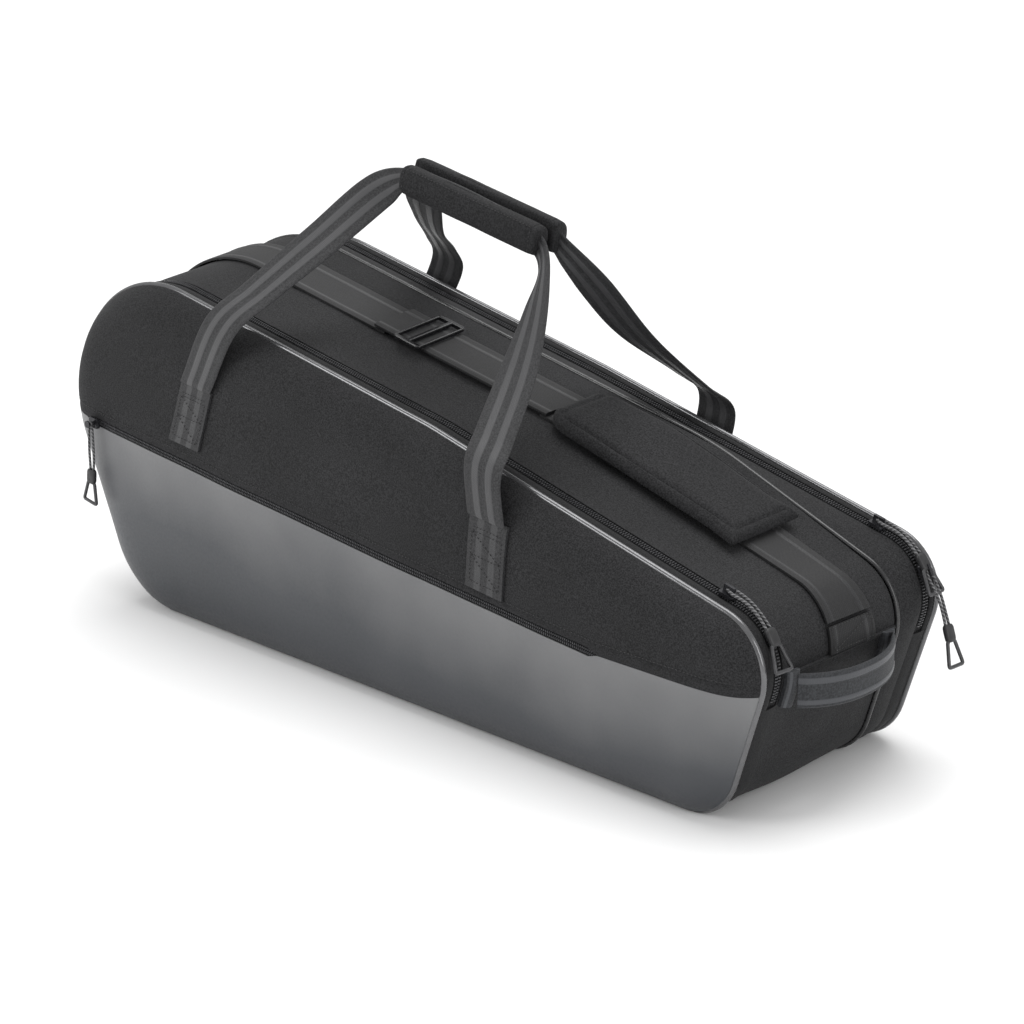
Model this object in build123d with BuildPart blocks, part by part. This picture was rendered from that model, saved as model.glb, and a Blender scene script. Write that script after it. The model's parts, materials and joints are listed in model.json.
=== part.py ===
"""Racket tournament bag: a soft two-compartment bag that stands on its long bottom edge.

Frame: +X runs towards the narrow handle end, -Y is the front with the zipped pocket, +Z is up.
The origin is the middle of the bag's base, on the ground. Millimetres.
"""
import os
from math import cos, hypot, radians, sin, sqrt

from build123d import *

os.makedirs("parts", exist_ok=True)

# ---------------------------------------------------------------- driving sizes
DEPTH = 205.0                 # front piping to rear rim
WALL = 3.0                    # padded wall
CLOTH = 1.5                   # single cloth layer
WEBBING = 2.2                 # thickness of every webbing
GAP = 0.3                     # air between layers that are only sewn at their edges
PIPING_WIDTH = 4.6
PIPING_RISE = 2.0             # how far a piping stands out of the wall
STRIP_WIDTH = 9.0             # cloth strip between the front piping and its zip
REAR_STRIP_WIDTH = 6.0
TAPE_WIDTH = 10.0             # both halves of a zip together
TAPE = 1.8                    # thickness of a zip tape
COIL_RISE = 0.6
COIL_WIDTH = 2.0

# Depth stations, from the front piping back to the rear rim
FRONT = -DEPTH / 2
REAR = DEPTH / 2
STRIP_START = FRONT + PIPING_WIDTH + GAP
MAIN_ZIP = STRIP_START + STRIP_WIDTH + TAPE_WIDTH / 2
GUSSET_START = MAIN_ZIP + TAPE_WIDTH / 2 + GAP
GUSSET_END = FRONT + 156.0
REAR_GUSSET_START = GUSSET_END + PIPING_WIDTH + 2 * GAP
REAR_ZIP = REAR - PIPING_WIDTH - GAP - REAR_STRIP_WIDTH - TAPE_WIDTH / 2
REAR_GUSSET_END = REAR_ZIP - TAPE_WIDTH / 2 - GAP
FRONT_SPLIT = MAIN_ZIP - TAPE_WIDTH / 2          # the opening front ends here below the zip
REAR_SPLIT = REAR_ZIP + TAPE_WIDTH / 2           # and the opening rear starts here

# Side outline at three depths: (depth, height of the head end, bend in the top edge, end corner)
PROFILES = (
    (GUSSET_START, 301.0, (60.0, 232.0), (396.0, 146.0)),
    (GUSSET_END, 323.0, (225.0, 213.0), (394.0, 142.0)),
    (REAR_GUSSET_END, 315.0, (60.0, 240.0), (400.0, 158.0)),
)
BASE_HEAD = (-312.0, 0.0)
HEAD_LOW = (-399.0, 202.0)
HEAD_TOP_X = -300.0
BASE_END = (353.0, 0.0)
END_RADIUS = 45.0
RADII = (80.0, 100.0, 125.0, 300.0, END_RADIUS, END_RADIUS)

BULGE = ((0.0, 0.0), (12.0, 8.0), (30.0, 15.0))  # (inset from the piping, how far it bulges)
REAR_BULGE = 0.5                                 # the rear panel bulges half as much
FRONT_FACE = FRONT - WALL - GAP - CLOTH - BULGE[-1][1]
REAR_FACE = REAR + WALL + GAP + CLOTH + REAR_BULGE * BULGE[-1][1]

# Lines of the side view, each through a point beyond the head end and one beyond the handle end
ZIP_ENDS = ((-500.0, 45.0), (500.0, 97.0))
GUSSET_SEAM = ((-500.0, 120.0), (500.0, 112.0))
POCKET_HEAD = (-346.0, 163.0)                    # the pocket zip is a straight line
POCKET_END = (248.0, 104.5)
POCKET_TAPE = 11.0

# Carry handles: (x, height) of each fold above its sewn patch, and the grip between the halves
FRONT_FOLDS = ((-192.0, 220.0), (143.0, 182.0))
FRONT_PATCH_FEET = ((-213.0, 166.0), (139.0, 124.0))
FRONT_EDGES = ((-150.0, 283.0), (141.0, 222.0))  # where the webbing leaves the panel
REAR_FOLDS = ((-182.0, 226.0), (156.0, 190.0))
REAR_PATCH_FEET = ((-204.0, 164.0), (152.0, 130.0))
REAR_EDGES = ((-142.0, 296.0), (160.0, 230.0))
HANDLE_WIDTH = 38.0
GRIP = ((-57.0, 388.5), (85.0, 359.4))
GRIP_HEIGHT = 44.0
GRIP_DEPTH = 22.0             # each half of the handle wrap
GRIP_WEBBING = (22.0, 4.4)    # the webbing is folded double inside the wrap
GRIP_OFFSET = 10.0            # each webbing's distance from the middle of the wrap

# Shoulder strap, over the middle of the gusset
STRAP_WIDTH = 42.0
FLARE_WIDTH = 54.0            # the strap widens towards its sewn end at the handle end
FLARE_TOP = 165.0             # and is back to its own width at this height
ANCHOR_LIFT = 1.2
STRAP_LIFT = 1.6
MIDDLE_LIFT = 4.4             # the middle stretch rides higher, through the buckle
PAD_WIDTH = 66.0
PAD_LIFT = 6.2
PAD_HEIGHT = 10.0
HINGE_GAP = 2.5                 # between a sewn strap end and the webbing that lifts from it
LINK_GAP = 2.0                  # between the stretches of the strap
UPPER_SIDE = 100.0              # a height between the bag's base and its top edge
PAD_FROM, PAD_TO = 112.0, 302.0
MIDDLE_FROM, MIDDLE_TO = -86.0, 103.0
END_ANCHOR = (114.0, 135.0)   # heights of the sewn ends
HEAD_ANCHOR = (180.0, 205.0)
BUCKLE_X = -44.0

# End grab handle
GRAB_HEIGHT = 26.0
GRAB_Z = 102.0
GRAB_PATCH = 14.0
GRAB_PATCH_RISE = 7.5
GRAB_START, GRAB_END = GUSSET_START + 1.0, GUSSET_END - 4.0
GRAB_AXIS_X = 395.0
GRAB_BOW = 15.0


# ---------------------------------------------------------------- side view helpers
def between(a, b, t):
    """The point a share t of the way from a to b, for numbers or for points."""
    if isinstance(a, tuple):
        return tuple(between(p, q, t) for p, q in zip(a, b))
    return a + t * (b - a)


def profile_at(depth):
    """Height of the head end, bend of the top edge and end corner at one depth."""
    if depth <= PROFILES[0][0]:
        return PROFILES[0][1:]
    for near, far in zip(PROFILES, PROFILES[1:]):
        if depth <= far[0]:
            return between(near[1:], far[1:], (depth - near[0]) / (far[0] - near[0]))
    return PROFILES[-1][1:]


def side_outline(depth, grow=0.0, at=None):
    """The bag's side view at one depth, grown by a margin, as a face at y = at (or at the depth)."""
    place = depth if at is None else at
    head_height, bend, end_corner = profile_at(depth)
    corners = (BASE_HEAD, HEAD_LOW, (HEAD_TOP_X, head_height), bend, end_corner, BASE_END)
    with BuildSketch(Plane.XZ.offset(-place), mode=Mode.PRIVATE) as outline:
        with BuildLine():
            Polyline(*corners, close=True)
        make_face()
        for corner, radius in zip(corners, RADII):
            fillet(outline.vertices().sort_by_distance(Vector(*corner, 0))[0], radius)
        if grow:
            offset(amount=grow)
    return outline.sketch.face()


def slab(depth_near, depth_far, grow):
    """The solid between the side views of two depths."""
    ends = [side_outline(depth_near, grow), side_outline(depth_far, grow)]
    return loft(ends, ruled=True, mode=Mode.PRIVATE)


def ring(depth_near, depth_far, inner, outer):
    """A band along the side view between two depths, from inner to outer beyond the wall's outside."""
    return slab(depth_near, depth_far, outer) - slab(depth_near, depth_far, inner)


def region(*points, near=-400.0, far=400.0):
    """A prism in Y with the given side view, to keep or to cut a stretch of a piece."""
    with BuildPart(mode=Mode.PRIVATE) as prism:
        with BuildSketch(Plane.XZ.offset(-near)):
            with BuildLine():
                Polyline(*points, close=True)
            make_face()
        extrude(amount=near - far)
    return prism.part


FAR = 900.0                     # well outside the bag on every side
END_SIDE = 300.0                # beyond this x only the bag's handle end remains, beyond minus this its head


def above(line, lift=0.0):
    """Everything above a line of the side view."""
    (x_left, z_left), (x_right, z_right) = line
    return region((x_left, z_left + lift), (x_right, z_right + lift), (x_right, FAR), (x_left, FAR))


def below(line, drop=0.0):
    """Everything below a line of the side view."""
    (x_left, z_left), (x_right, z_right) = line
    return region((x_left, z_left - drop), (x_right, z_right - drop), (x_right, -FAR), (x_left, -FAR))


def window(x_from, x_to, z_from, z_to):
    """A rectangle of the side view, through the whole bag."""
    return region((x_from, z_from), (x_to, z_from), (x_to, z_to), (x_from, z_to))


def save(part, name):
    """Label a finished piece and write its STEP file."""
    part.label = name
    export_step(part, f"parts/{name}.step")


ABOVE_GROUND = window(-FAR, FAR, 0, FAR)


# ---------------------------------------------------------------- bulged panels
def dome(depth, at, towards, share):
    """A bulged solid with its edge at y = at, swelling towards -1 (front) or +1 (rear)."""
    levels = [side_outline(depth, -inset, at + towards * share * rise) for inset, rise in BULGE]
    return loft(levels, ruled=True, mode=Mode.PRIVATE)


def layer(depth, at, towards, thickness, share=1.0):
    """One bulged layer whose inside starts at y = at."""
    outside = at + towards * thickness
    ends = [side_outline(depth, 0, at), side_outline(depth, 0, outside)]
    edge = loft(ends, ruled=True, mode=Mode.PRIVATE)
    return edge + dome(depth, outside, towards, share) - dome(depth, at, towards, share)


POCKET_LINE = tuple(between(POCKET_HEAD, POCKET_END, t) for t in (-0.4, 1.5))
CLOTH_AT = FRONT - WALL - GAP
TAPE_STRETCH = window(POCKET_HEAD[0] - GAP, POCKET_END[0] + GAP, 0, 400)

with BuildPart() as front_wall:
    add(layer(FRONT, FRONT, -1, WALL))
save(front_wall.part, "front_wall")

with BuildPart() as front_cloth:
    add(layer(FRONT, CLOTH_AT, -1, CLOTH))
    add(above(POCKET_LINE, GAP / 2), mode=Mode.INTERSECT)
    add(below(POCKET_LINE, -POCKET_TAPE / 2 - GAP) & TAPE_STRETCH, mode=Mode.SUBTRACT)
save(front_cloth.part, "front_cloth")

with BuildPart() as pocket_front:
    add(layer(FRONT, CLOTH_AT, -1, CLOTH))
    add(below(POCKET_LINE, GAP / 2), mode=Mode.INTERSECT)
    add(above(POCKET_LINE, -POCKET_TAPE / 2 - GAP) & TAPE_STRETCH, mode=Mode.SUBTRACT)
save(pocket_front.part, "pocket_front")

with BuildPart() as pocket_zip:
    tape_middle = between(POCKET_HEAD, POCKET_END, 0.5)
    zip_rise = POCKET_END[1] - POCKET_HEAD[1]
    zip_run = POCKET_END[0] - POCKET_HEAD[0]
    zip_length = hypot(zip_run, zip_rise)
    tape_plane = Plane(
        origin=(tape_middle[0], FRONT_FACE + CLOTH, tape_middle[1]),
        x_dir=(zip_run, 0, zip_rise),
        z_dir=(0, -1, 0),
    )
    with BuildSketch(tape_plane):
        Rectangle(zip_length - 2 * GAP, POCKET_TAPE - 2 * GAP)
    extrude(amount=CLOTH)
    with BuildSketch(tape_plane.offset(CLOTH)):
        Rectangle(zip_length - 2 * GAP, 2 * COIL_WIDTH)
    extrude(amount=COIL_RISE)
save(pocket_zip.part, "pocket_zip")

with BuildPart() as rear_wall:
    add(layer(REAR, REAR, 1, WALL, REAR_BULGE))
save(rear_wall.part, "rear_wall")

with BuildPart() as rear_cloth:
    add(layer(REAR, REAR + WALL + GAP, 1, CLOTH, REAR_BULGE))
save(rear_cloth.part, "rear_cloth")


# ---------------------------------------------------------------- pipings, strips and gussets
def piping(start, name):
    """A round-backed cord sewn between two panels, flattened where the bag stands on it."""
    with BuildPart() as cord:
        add(ring(start, start + PIPING_WIDTH, -WALL, PIPING_RISE))
        add(ABOVE_GROUND, mode=Mode.INTERSECT)
    save(cord.part, name)


piping(FRONT + GAP, "front_piping")
piping(GUSSET_END + GAP, "middle_piping")
piping(REAR - PIPING_WIDTH - GAP, "rear_piping")

with BuildPart() as front_strip:
    add(ring(STRIP_START + GAP, FRONT_SPLIT - GAP, -WALL, 0))
save(front_strip.part, "front_strip")

with BuildPart() as rear_strip:
    add(ring(REAR_SPLIT + GAP, REAR_SPLIT + REAR_STRIP_WIDTH - GAP, -WALL, 0))
save(rear_strip.part, "rear_strip")

with BuildPart() as top_gusset:
    add(ring(GUSSET_START, GUSSET_END, -WALL, 0))
    add(above(GUSSET_SEAM, GAP), mode=Mode.INTERSECT)
save(top_gusset.part, "top_gusset")

with BuildPart() as base_gusset:
    add(ring(GUSSET_START, GUSSET_END, -WALL, 0))
    add(below(GUSSET_SEAM), mode=Mode.INTERSECT)
    add(ring(FRONT_SPLIT, GUSSET_START, -WALL, 0) & below(ZIP_ENDS, GAP))
save(base_gusset.part, "base_gusset")

with BuildPart() as divider:
    add(slab(GUSSET_END + GAP, GUSSET_END + GAP + WALL, -WALL - GAP))
save(divider.part, "divider")

with BuildPart() as rear_gusset:
    add(ring(REAR_GUSSET_START, REAR_GUSSET_END, -WALL, 0))
    add(ring(REAR_GUSSET_END, REAR_SPLIT, -WALL, 0) & below(ZIP_ENDS, GAP))
save(rear_gusset.part, "rear_gusset")


# ---------------------------------------------------------------- zips
def zip_half(zip_middle, towards, name):
    """One half of a zip along the top of the bag: a flat tape with its row of teeth."""
    teeth_edge = zip_middle + towards * GAP
    sewn_edge = zip_middle + towards * (TAPE_WIDTH / 2 - GAP / 2)
    coil_edge = teeth_edge + towards * COIL_WIDTH
    with BuildPart() as half:
        add(ring(*sorted((teeth_edge, sewn_edge)), -COIL_RISE - TAPE, -COIL_RISE))
        add(ring(*sorted((teeth_edge, coil_edge)), -COIL_RISE - TAPE, COIL_RISE))
        add(above(ZIP_ENDS, GAP), mode=Mode.INTERSECT)
    save(half.part, name)


zip_half(MAIN_ZIP, -1, "main_zip_front_half")
zip_half(MAIN_ZIP, 1, "main_zip_back_half")
zip_half(REAR_ZIP, -1, "rear_zip_front_half")
zip_half(REAR_ZIP, 1, "rear_zip_back_half")

SLIDER = (13.0, 9.0, 2.6)     # along the zip, across it, thickness
SLIDER_LIFT = 1.3             # underside above the tape
EYE_HEIGHT = 6.6              # the pull's pivot above the tape
EYE_HOLE = 1.9
EYE = (9.0, 2.6, 5.6)
POST_RADIUS = 1.6
CORD_RADIUS = 1.1
CORD_SPREAD = 3.2
CORD_LENGTH = 42.0
SLEEVE = (13.0, 10.0, 5.0)
RING_LENGTH = 19.0
RING_WIDTHS = (9.0, 19.0)     # at the sleeve and at the far end
RING_WALL = 2.6
RING_THICKNESS = 3.0
SLIDER_CORNER = 2.5
POST_CAP = 1.2                  # thickness of the flange that keeps the pull on its post
PULL_CORNER = 1.5               # bend of the cord and corners of the sleeve
POCKET_SLIDER_AT = 12.0         # from the head end of the pocket zip


def slider(plane, name, post=False):
    """A zip slider. The plane lies on the tape: x along the zip, z outwards."""
    length, width, thickness = SLIDER
    top = SLIDER_LIFT + thickness
    with BuildPart(plane) as body:
        with BuildSketch(plane.offset(SLIDER_LIFT)):
            RectangleRounded(length, width, SLIDER_CORNER)
        extrude(amount=thickness)
        if post:
            with BuildSketch(plane.offset(top)):
                Circle(POST_RADIUS)
            extrude(amount=EYE[2])
            with BuildSketch(plane.offset(top + EYE[2])):
                Circle(2 * POST_RADIUS)
            extrude(amount=POST_CAP)
        else:
            across = Plane(origin=plane.origin, x_dir=plane.x_dir, z_dir=-plane.y_dir)
            with BuildSketch(across.offset(-EYE[1] / 2)):
                with Locations((0, top + EYE[2] / 2)):
                    Rectangle(EYE[0], EYE[2])
                with Locations((0, EYE_HEIGHT)):
                    Circle(EYE_HOLE, mode=Mode.SUBTRACT)
            extrude(amount=EYE[1])
    save(body.part, name)


def pull(plane, name, reach=0.0):
    """A cord pull: a cord loop through the eye, a moulded sleeve and a finger ring.

    The plane's origin is the pivot, its x runs down the pull, its z points away from the bag.
    """
    with BuildPart() as cord:
        with BuildLine(plane):
            path = FilletPolyline(
                (CORD_LENGTH, CORD_SPREAD, 0),
                (-reach, CORD_SPREAD, 0),
                (-reach, -CORD_SPREAD, 0),
                (CORD_LENGTH, -CORD_SPREAD, 0),
                radius=PULL_CORNER,
            )
        with BuildSketch(Plane(origin=path @ 0, z_dir=path % 0)):
            Circle(CORD_RADIUS)
        sweep()
    save(cord.part, f"{name}_cord")

    with BuildPart() as sleeve:
        with BuildSketch(plane.offset(-SLEEVE[2] / 2)):
            with Locations((CORD_LENGTH + GAP + SLEEVE[0] / 2, 0)):
                RectangleRounded(SLEEVE[0], SLEEVE[1], PULL_CORNER)
        extrude(amount=SLEEVE[2])
    save(sleeve.part, f"{name}_sleeve")

    start = CORD_LENGTH + SLEEVE[0] + 2 * GAP
    with BuildPart() as finger_ring:
        with BuildSketch(plane.offset(-RING_THICKNESS / 2)):
            with BuildLine():
                Polyline(
                    (start, RING_WIDTHS[0] / 2),
                    (start + RING_LENGTH, RING_WIDTHS[1] / 2),
                    (start + RING_LENGTH, -RING_WIDTHS[1] / 2),
                    (start, -RING_WIDTHS[0] / 2),
                    close=True,
                )
            make_face()
            offset(amount=-RING_WALL, mode=Mode.SUBTRACT)
        extrude(amount=RING_THICKNESS)
    save(finger_ring.part, f"{name}_ring")


def top_edge_plane(depth, x):
    """The plane on the top edge near the handle end: x runs down the slope, z outwards."""
    _, bend, end_corner = profile_at(depth)
    run, rise = end_corner[0] - bend[0], end_corner[1] - bend[1]
    height = bend[1] + rise / run * (x - bend[0])
    return Plane(origin=(x, depth, height), x_dir=(run, 0, rise), z_dir=(-rise, 0, run))


def end_corner_plane(depth, turn):
    """The plane on the rounded end corner, turn degrees above the horizontal."""
    _, bend, corner = profile_at(depth)
    towards_bend = (Vector(*bend) - Vector(*corner)).normalized()
    towards_base = (Vector(*BASE_END) - Vector(*corner)).normalized()
    half_angle = towards_bend.get_angle(towards_base) / 2
    middle = (towards_bend + towards_base).normalized()
    centre = Vector(*corner) + middle * (END_RADIUS / sin(radians(half_angle)))
    out = Vector(cos(radians(turn)), 0, sin(radians(turn)))
    origin = Vector(centre.X, depth, centre.Y) + out * END_RADIUS
    return Plane(origin=origin, x_dir=(out.Z, 0, -out.X), z_dir=out)


MAIN_SLIDER_X = 338.0
REAR_SLIDER_X = 342.0
REAR_END_SLIDER_TURN = 28.0
REAR_END_PULL_DROOP = 4.0

main_plane = top_edge_plane(MAIN_ZIP, MAIN_SLIDER_X)
slider(main_plane, "main_slider")
pull(main_plane.offset(EYE_HEIGHT), "main_pull")

rear_plane = top_edge_plane(REAR_ZIP, REAR_SLIDER_X)
slider(rear_plane, "rear_top_slider")
pull(rear_plane.offset(EYE_HEIGHT), "rear_top_pull")

corner_plane = end_corner_plane(REAR_ZIP, REAR_END_SLIDER_TURN)
slider(corner_plane, "rear_end_slider")
pull(corner_plane.offset(EYE_HEIGHT).rotated((0, REAR_END_PULL_DROOP, 0)), "rear_end_pull")

pocket_plane = Plane(
    origin=(
        POCKET_HEAD[0] + POCKET_SLIDER_AT,
        FRONT_FACE,
        POCKET_HEAD[1] + POCKET_SLIDER_AT * zip_rise / zip_run,
    ),
    x_dir=(zip_run, 0, zip_rise),
    z_dir=(0, -1, 0),
)
slider(pocket_plane, "pocket_slider", post=True)
hanging = Plane(origin=pocket_plane.origin, x_dir=(0, 0, -1), z_dir=(0, -1, 0))
pull(hanging.offset(EYE_HEIGHT), "pocket_pull", reach=CORD_SPREAD)


# ---------------------------------------------------------------- carry handles
def webbing(stations):
    """A webbing through stations of (centre, direction across it, width, thickness)."""
    centres = [Vector(*station[0]) for station in stations]
    with BuildPart(mode=Mode.PRIVATE) as strap:
        for i, (_, direction, width, thickness) in enumerate(stations):
            before = centres[max(i - 1, 0)]
            after = centres[min(i + 1, len(centres) - 1)]
            along = (after - before).normalized()
            across = Vector(*direction).normalized()
            skew = sqrt(1 - along.dot(across) ** 2)
            with BuildSketch(Plane(origin=centres[i], x_dir=across, z_dir=along - across * along.dot(across))):
                Rectangle(width / skew, thickness)
        loft(ruled=True)
    return strap.part


def carry_handle(side, face, folds, feet, edges, name):
    """One webbing loop, its two sewn patches and its half of the handle wrap.

    side is -1 for the front and +1 for the rear; face is the panel it is sewn to. The loop
    turns about the line through its two folds.
    """
    head_fold, end_fold = folds
    head_edge, end_edge = edges
    fold_line = (end_fold[0] - head_fold[0], 0, end_fold[1] - head_fold[1])
    edge_line = (end_edge[0] - head_edge[0], 0, end_edge[1] - head_edge[1])
    flat = face + side * (GAP + WEBBING / 2)
    for fold, foot, end in zip(folds, feet, ("head", "end")):
        stations = [((x, flat, z), fold_line, HANDLE_WIDTH, WEBBING) for x, z in (foot, fold)]
        save(webbing(stations), f"{name}_patch_{end}")

    out = flat + side * (WEBBING + GAP)
    middle = side * GRIP_OFFSET
    turning = side * (GRIP_OFFSET + GRIP_WEBBING[1])
    (grip_x, grip_z), (grip_end_x, grip_end_z) = GRIP
    down = (grip_end_z - grip_z, 0, grip_x - grip_end_x)
    turning_width = between(GRIP_WEBBING[0], HANDLE_WIDTH, 0.5)
    stations = [
        ((head_fold[0], out, head_fold[1]), fold_line, HANDLE_WIDTH, WEBBING),
        ((head_edge[0], out, head_edge[1]), edge_line, HANDLE_WIDTH, WEBBING),
        ((grip_x - 20, turning, grip_z - 6), (0.6, 0, -0.8), turning_width, WEBBING),
        ((grip_x - 5, middle, grip_z + 1), down, *GRIP_WEBBING),
        ((grip_end_x + 5, middle, grip_end_z - 1), down, *GRIP_WEBBING),
        ((grip_end_x + 14, turning, grip_end_z - 9), (-0.7, 0, -0.7), turning_width, WEBBING),
        ((end_edge[0], out, end_edge[1]), [-value for value in edge_line], HANDLE_WIDTH, WEBBING),
        ((end_fold[0], out, end_fold[1]), [-value for value in fold_line], HANDLE_WIDTH, WEBBING),
    ]
    save(webbing(stations), f"{name}_webbing")

    along = Plane(
        origin=(grip_x, 0, grip_z),
        x_dir=(0, side, 0),
        z_dir=(grip_end_x - grip_x, 0, grip_end_z - grip_z),
    )
    with BuildPart() as wrap_half:
        with BuildSketch(along):
            with Locations((GAP + GRIP_DEPTH / 2, 0)):
                RectangleRounded(GRIP_DEPTH, GRIP_HEIGHT, GRIP_DEPTH / 2 - 1)
            with Locations((GRIP_OFFSET, 0)):
                Rectangle(GRIP_WEBBING[1] + 2 * GAP, GRIP_WEBBING[0] + 2 * GAP, mode=Mode.SUBTRACT)
        extrude(amount=hypot(grip_end_x - grip_x, grip_end_z - grip_z))
    save(wrap_half.part, f"{name}_wrap_half")


carry_handle(-1, FRONT_FACE, FRONT_FOLDS, FRONT_PATCH_FEET, FRONT_EDGES, "front_handle")
carry_handle(1, REAR_FACE, REAR_FOLDS, REAR_PATCH_FEET, REAR_EDGES, "rear_handle")


# ---------------------------------------------------------------- shoulder strap
def strap_band(lift, thickness, width=STRAP_WIDTH):
    """A closed band over the middle of the gusset, to be cut to a stretch of strap."""
    return ring(-width / 2, width / 2, lift, lift + thickness)


def flared_band(lift, thickness):
    """The strap's band where it widens downwards to its sewn end at the handle end."""
    with BuildPart(mode=Mode.PRIVATE) as flare:
        with BuildSketch(Plane.YZ.offset(MIDDLE_TO)):
            with BuildLine():
                Polyline(
                    (-FLARE_WIDTH / 2, END_ANCHOR[0]),
                    (FLARE_WIDTH / 2, END_ANCHOR[0]),
                    (STRAP_WIDTH / 2, FLARE_TOP),
                    (STRAP_WIDTH / 2, PROFILES[1][1]),
                    (-STRAP_WIDTH / 2, PROFILES[1][1]),
                    (-STRAP_WIDTH / 2, FLARE_TOP),
                    close=True,
                )
            make_face()
        extrude(amount=BASE_END[0])
    return strap_band(lift, thickness, FLARE_WIDTH) & flare.part


with BuildPart() as strap_end_anchor:
    add(flared_band(ANCHOR_LIFT, WEBBING))
    add(window(END_SIDE, FAR, END_ANCHOR[0], END_ANCHOR[1] - HINGE_GAP), mode=Mode.INTERSECT)
save(strap_end_anchor.part, "strap_end_anchor")

with BuildPart() as strap_end_webbing:
    add(flared_band(STRAP_LIFT, WEBBING))
    add(window(MIDDLE_TO + LINK_GAP, FAR, END_ANCHOR[1], FAR), mode=Mode.INTERSECT)
save(strap_end_webbing.part, "strap_end_webbing")

with BuildPart() as shoulder_pad:
    add(strap_band(PAD_LIFT, PAD_HEIGHT, PAD_WIDTH))
    add(window(PAD_FROM, PAD_TO, UPPER_SIDE, FAR), mode=Mode.INTERSECT)
save(shoulder_pad.part, "shoulder_pad")

with BuildPart() as strap_middle_webbing:
    add(strap_band(MIDDLE_LIFT, WEBBING))
    add(window(MIDDLE_FROM, MIDDLE_TO, UPPER_SIDE, FAR), mode=Mode.INTERSECT)
save(strap_middle_webbing.part, "strap_middle_webbing")

with BuildPart() as strap_head_webbing:
    add(strap_band(STRAP_LIFT, WEBBING))
    add(window(-FAR, MIDDLE_FROM - LINK_GAP, HEAD_ANCHOR[1], FAR), mode=Mode.INTERSECT)
save(strap_head_webbing.part, "strap_head_webbing")

with BuildPart() as strap_head_anchor:
    add(strap_band(ANCHOR_LIFT, WEBBING))
    add(window(-FAR, -END_SIDE, HEAD_ANCHOR[0], HEAD_ANCHOR[1] - HINGE_GAP), mode=Mode.INTERSECT)
save(strap_head_anchor.part, "strap_head_anchor")

BUCKLE = (30.0, 54.0, 3.2)    # along the strap, across it, thickness
BUCKLE_SLOT = 7.5
BUCKLE_BAR = 4.0


def head_stretch_height(depth, x):
    """Height of the top edge on its stretch from the head end to the bend."""
    head_height, bend, _ = profile_at(depth)
    return between(head_height, bend[1], (x - HEAD_TOP_X) / (bend[0] - HEAD_TOP_X))


with BuildPart() as ladder_buckle:
    height = head_stretch_height(0, BUCKLE_X)
    slope_along = head_stretch_height(0, BUCKLE_X + 1) - height
    half_width = STRAP_WIDTH / 2
    near_side = head_stretch_height(-half_width, BUCKLE_X)
    far_side = head_stretch_height(half_width, BUCKLE_X)
    slope_across = (far_side - near_side) / STRAP_WIDTH
    buckle_plane = Plane(
        origin=(BUCKLE_X, 0, height),
        x_dir=(1, 0, slope_along),
        z_dir=(-slope_along, -slope_across, 1),
    )
    with BuildSketch(buckle_plane.offset(MIDDLE_LIFT + WEBBING + 2 * GAP)):
        RectangleRounded(BUCKLE[0], BUCKLE[1], 4)
        with Locations((-BUCKLE_SLOT, 0), (BUCKLE_SLOT, 0)):
            Rectangle(2 * BUCKLE_SLOT - BUCKLE_BAR, STRAP_WIDTH + 4, mode=Mode.SUBTRACT)
    extrude(amount=BUCKLE[2])
save(ladder_buckle.part, "ladder_buckle")


# ---------------------------------------------------------------- end grab handle
def grab_patch(start, name):
    """A sewn end of the grab handle, with the fold that lifts the webbing off the bag."""
    with BuildPart() as patch:
        add(ring(start, start + GRAB_PATCH, ANCHOR_LIFT, GRAB_PATCH_RISE))
        half = GRAB_HEIGHT / 2
        add(window(END_SIDE, FAR, GRAB_Z - half, GRAB_Z + half), mode=Mode.INTERSECT)
    save(patch.part, name)


grab_patch(GRAB_START, "grab_patch_front")
grab_patch(GRAB_END - GRAB_PATCH, "grab_patch_rear")

with BuildPart() as grab_webbing:
    bow_start = GRAB_START + GRAB_PATCH + 2.0
    bow_end = GRAB_END - GRAB_PATCH - 2.0
    bow_middle = (bow_start + bow_end) / 2
    with BuildSketch(Plane.XY.offset(GRAB_Z - GRAB_HEIGHT / 2)):
        with BuildLine():
            bow = ThreePointArc(
                (GRAB_AXIS_X, bow_start),
                (GRAB_AXIS_X + GRAB_BOW, bow_middle),
                (GRAB_AXIS_X, bow_end),
            )
            offset(bow, amount=WEBBING / 2, side=Side.BOTH, closed=True)
        make_face()
    extrude(amount=GRAB_HEIGHT)
save(grab_webbing.part, "grab_webbing")
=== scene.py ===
"""The looks of a racket tournament bag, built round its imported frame.

Metres, in the frame's own axes: +X towards the narrow handle end, -Y the front, +Z up. The cloth shell is
built from one side outline, so every panel, piping, zip and seam follows the same line.
"""

import json
import math

import bmesh
import bpy
import numpy as np
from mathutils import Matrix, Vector, noise


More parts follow.
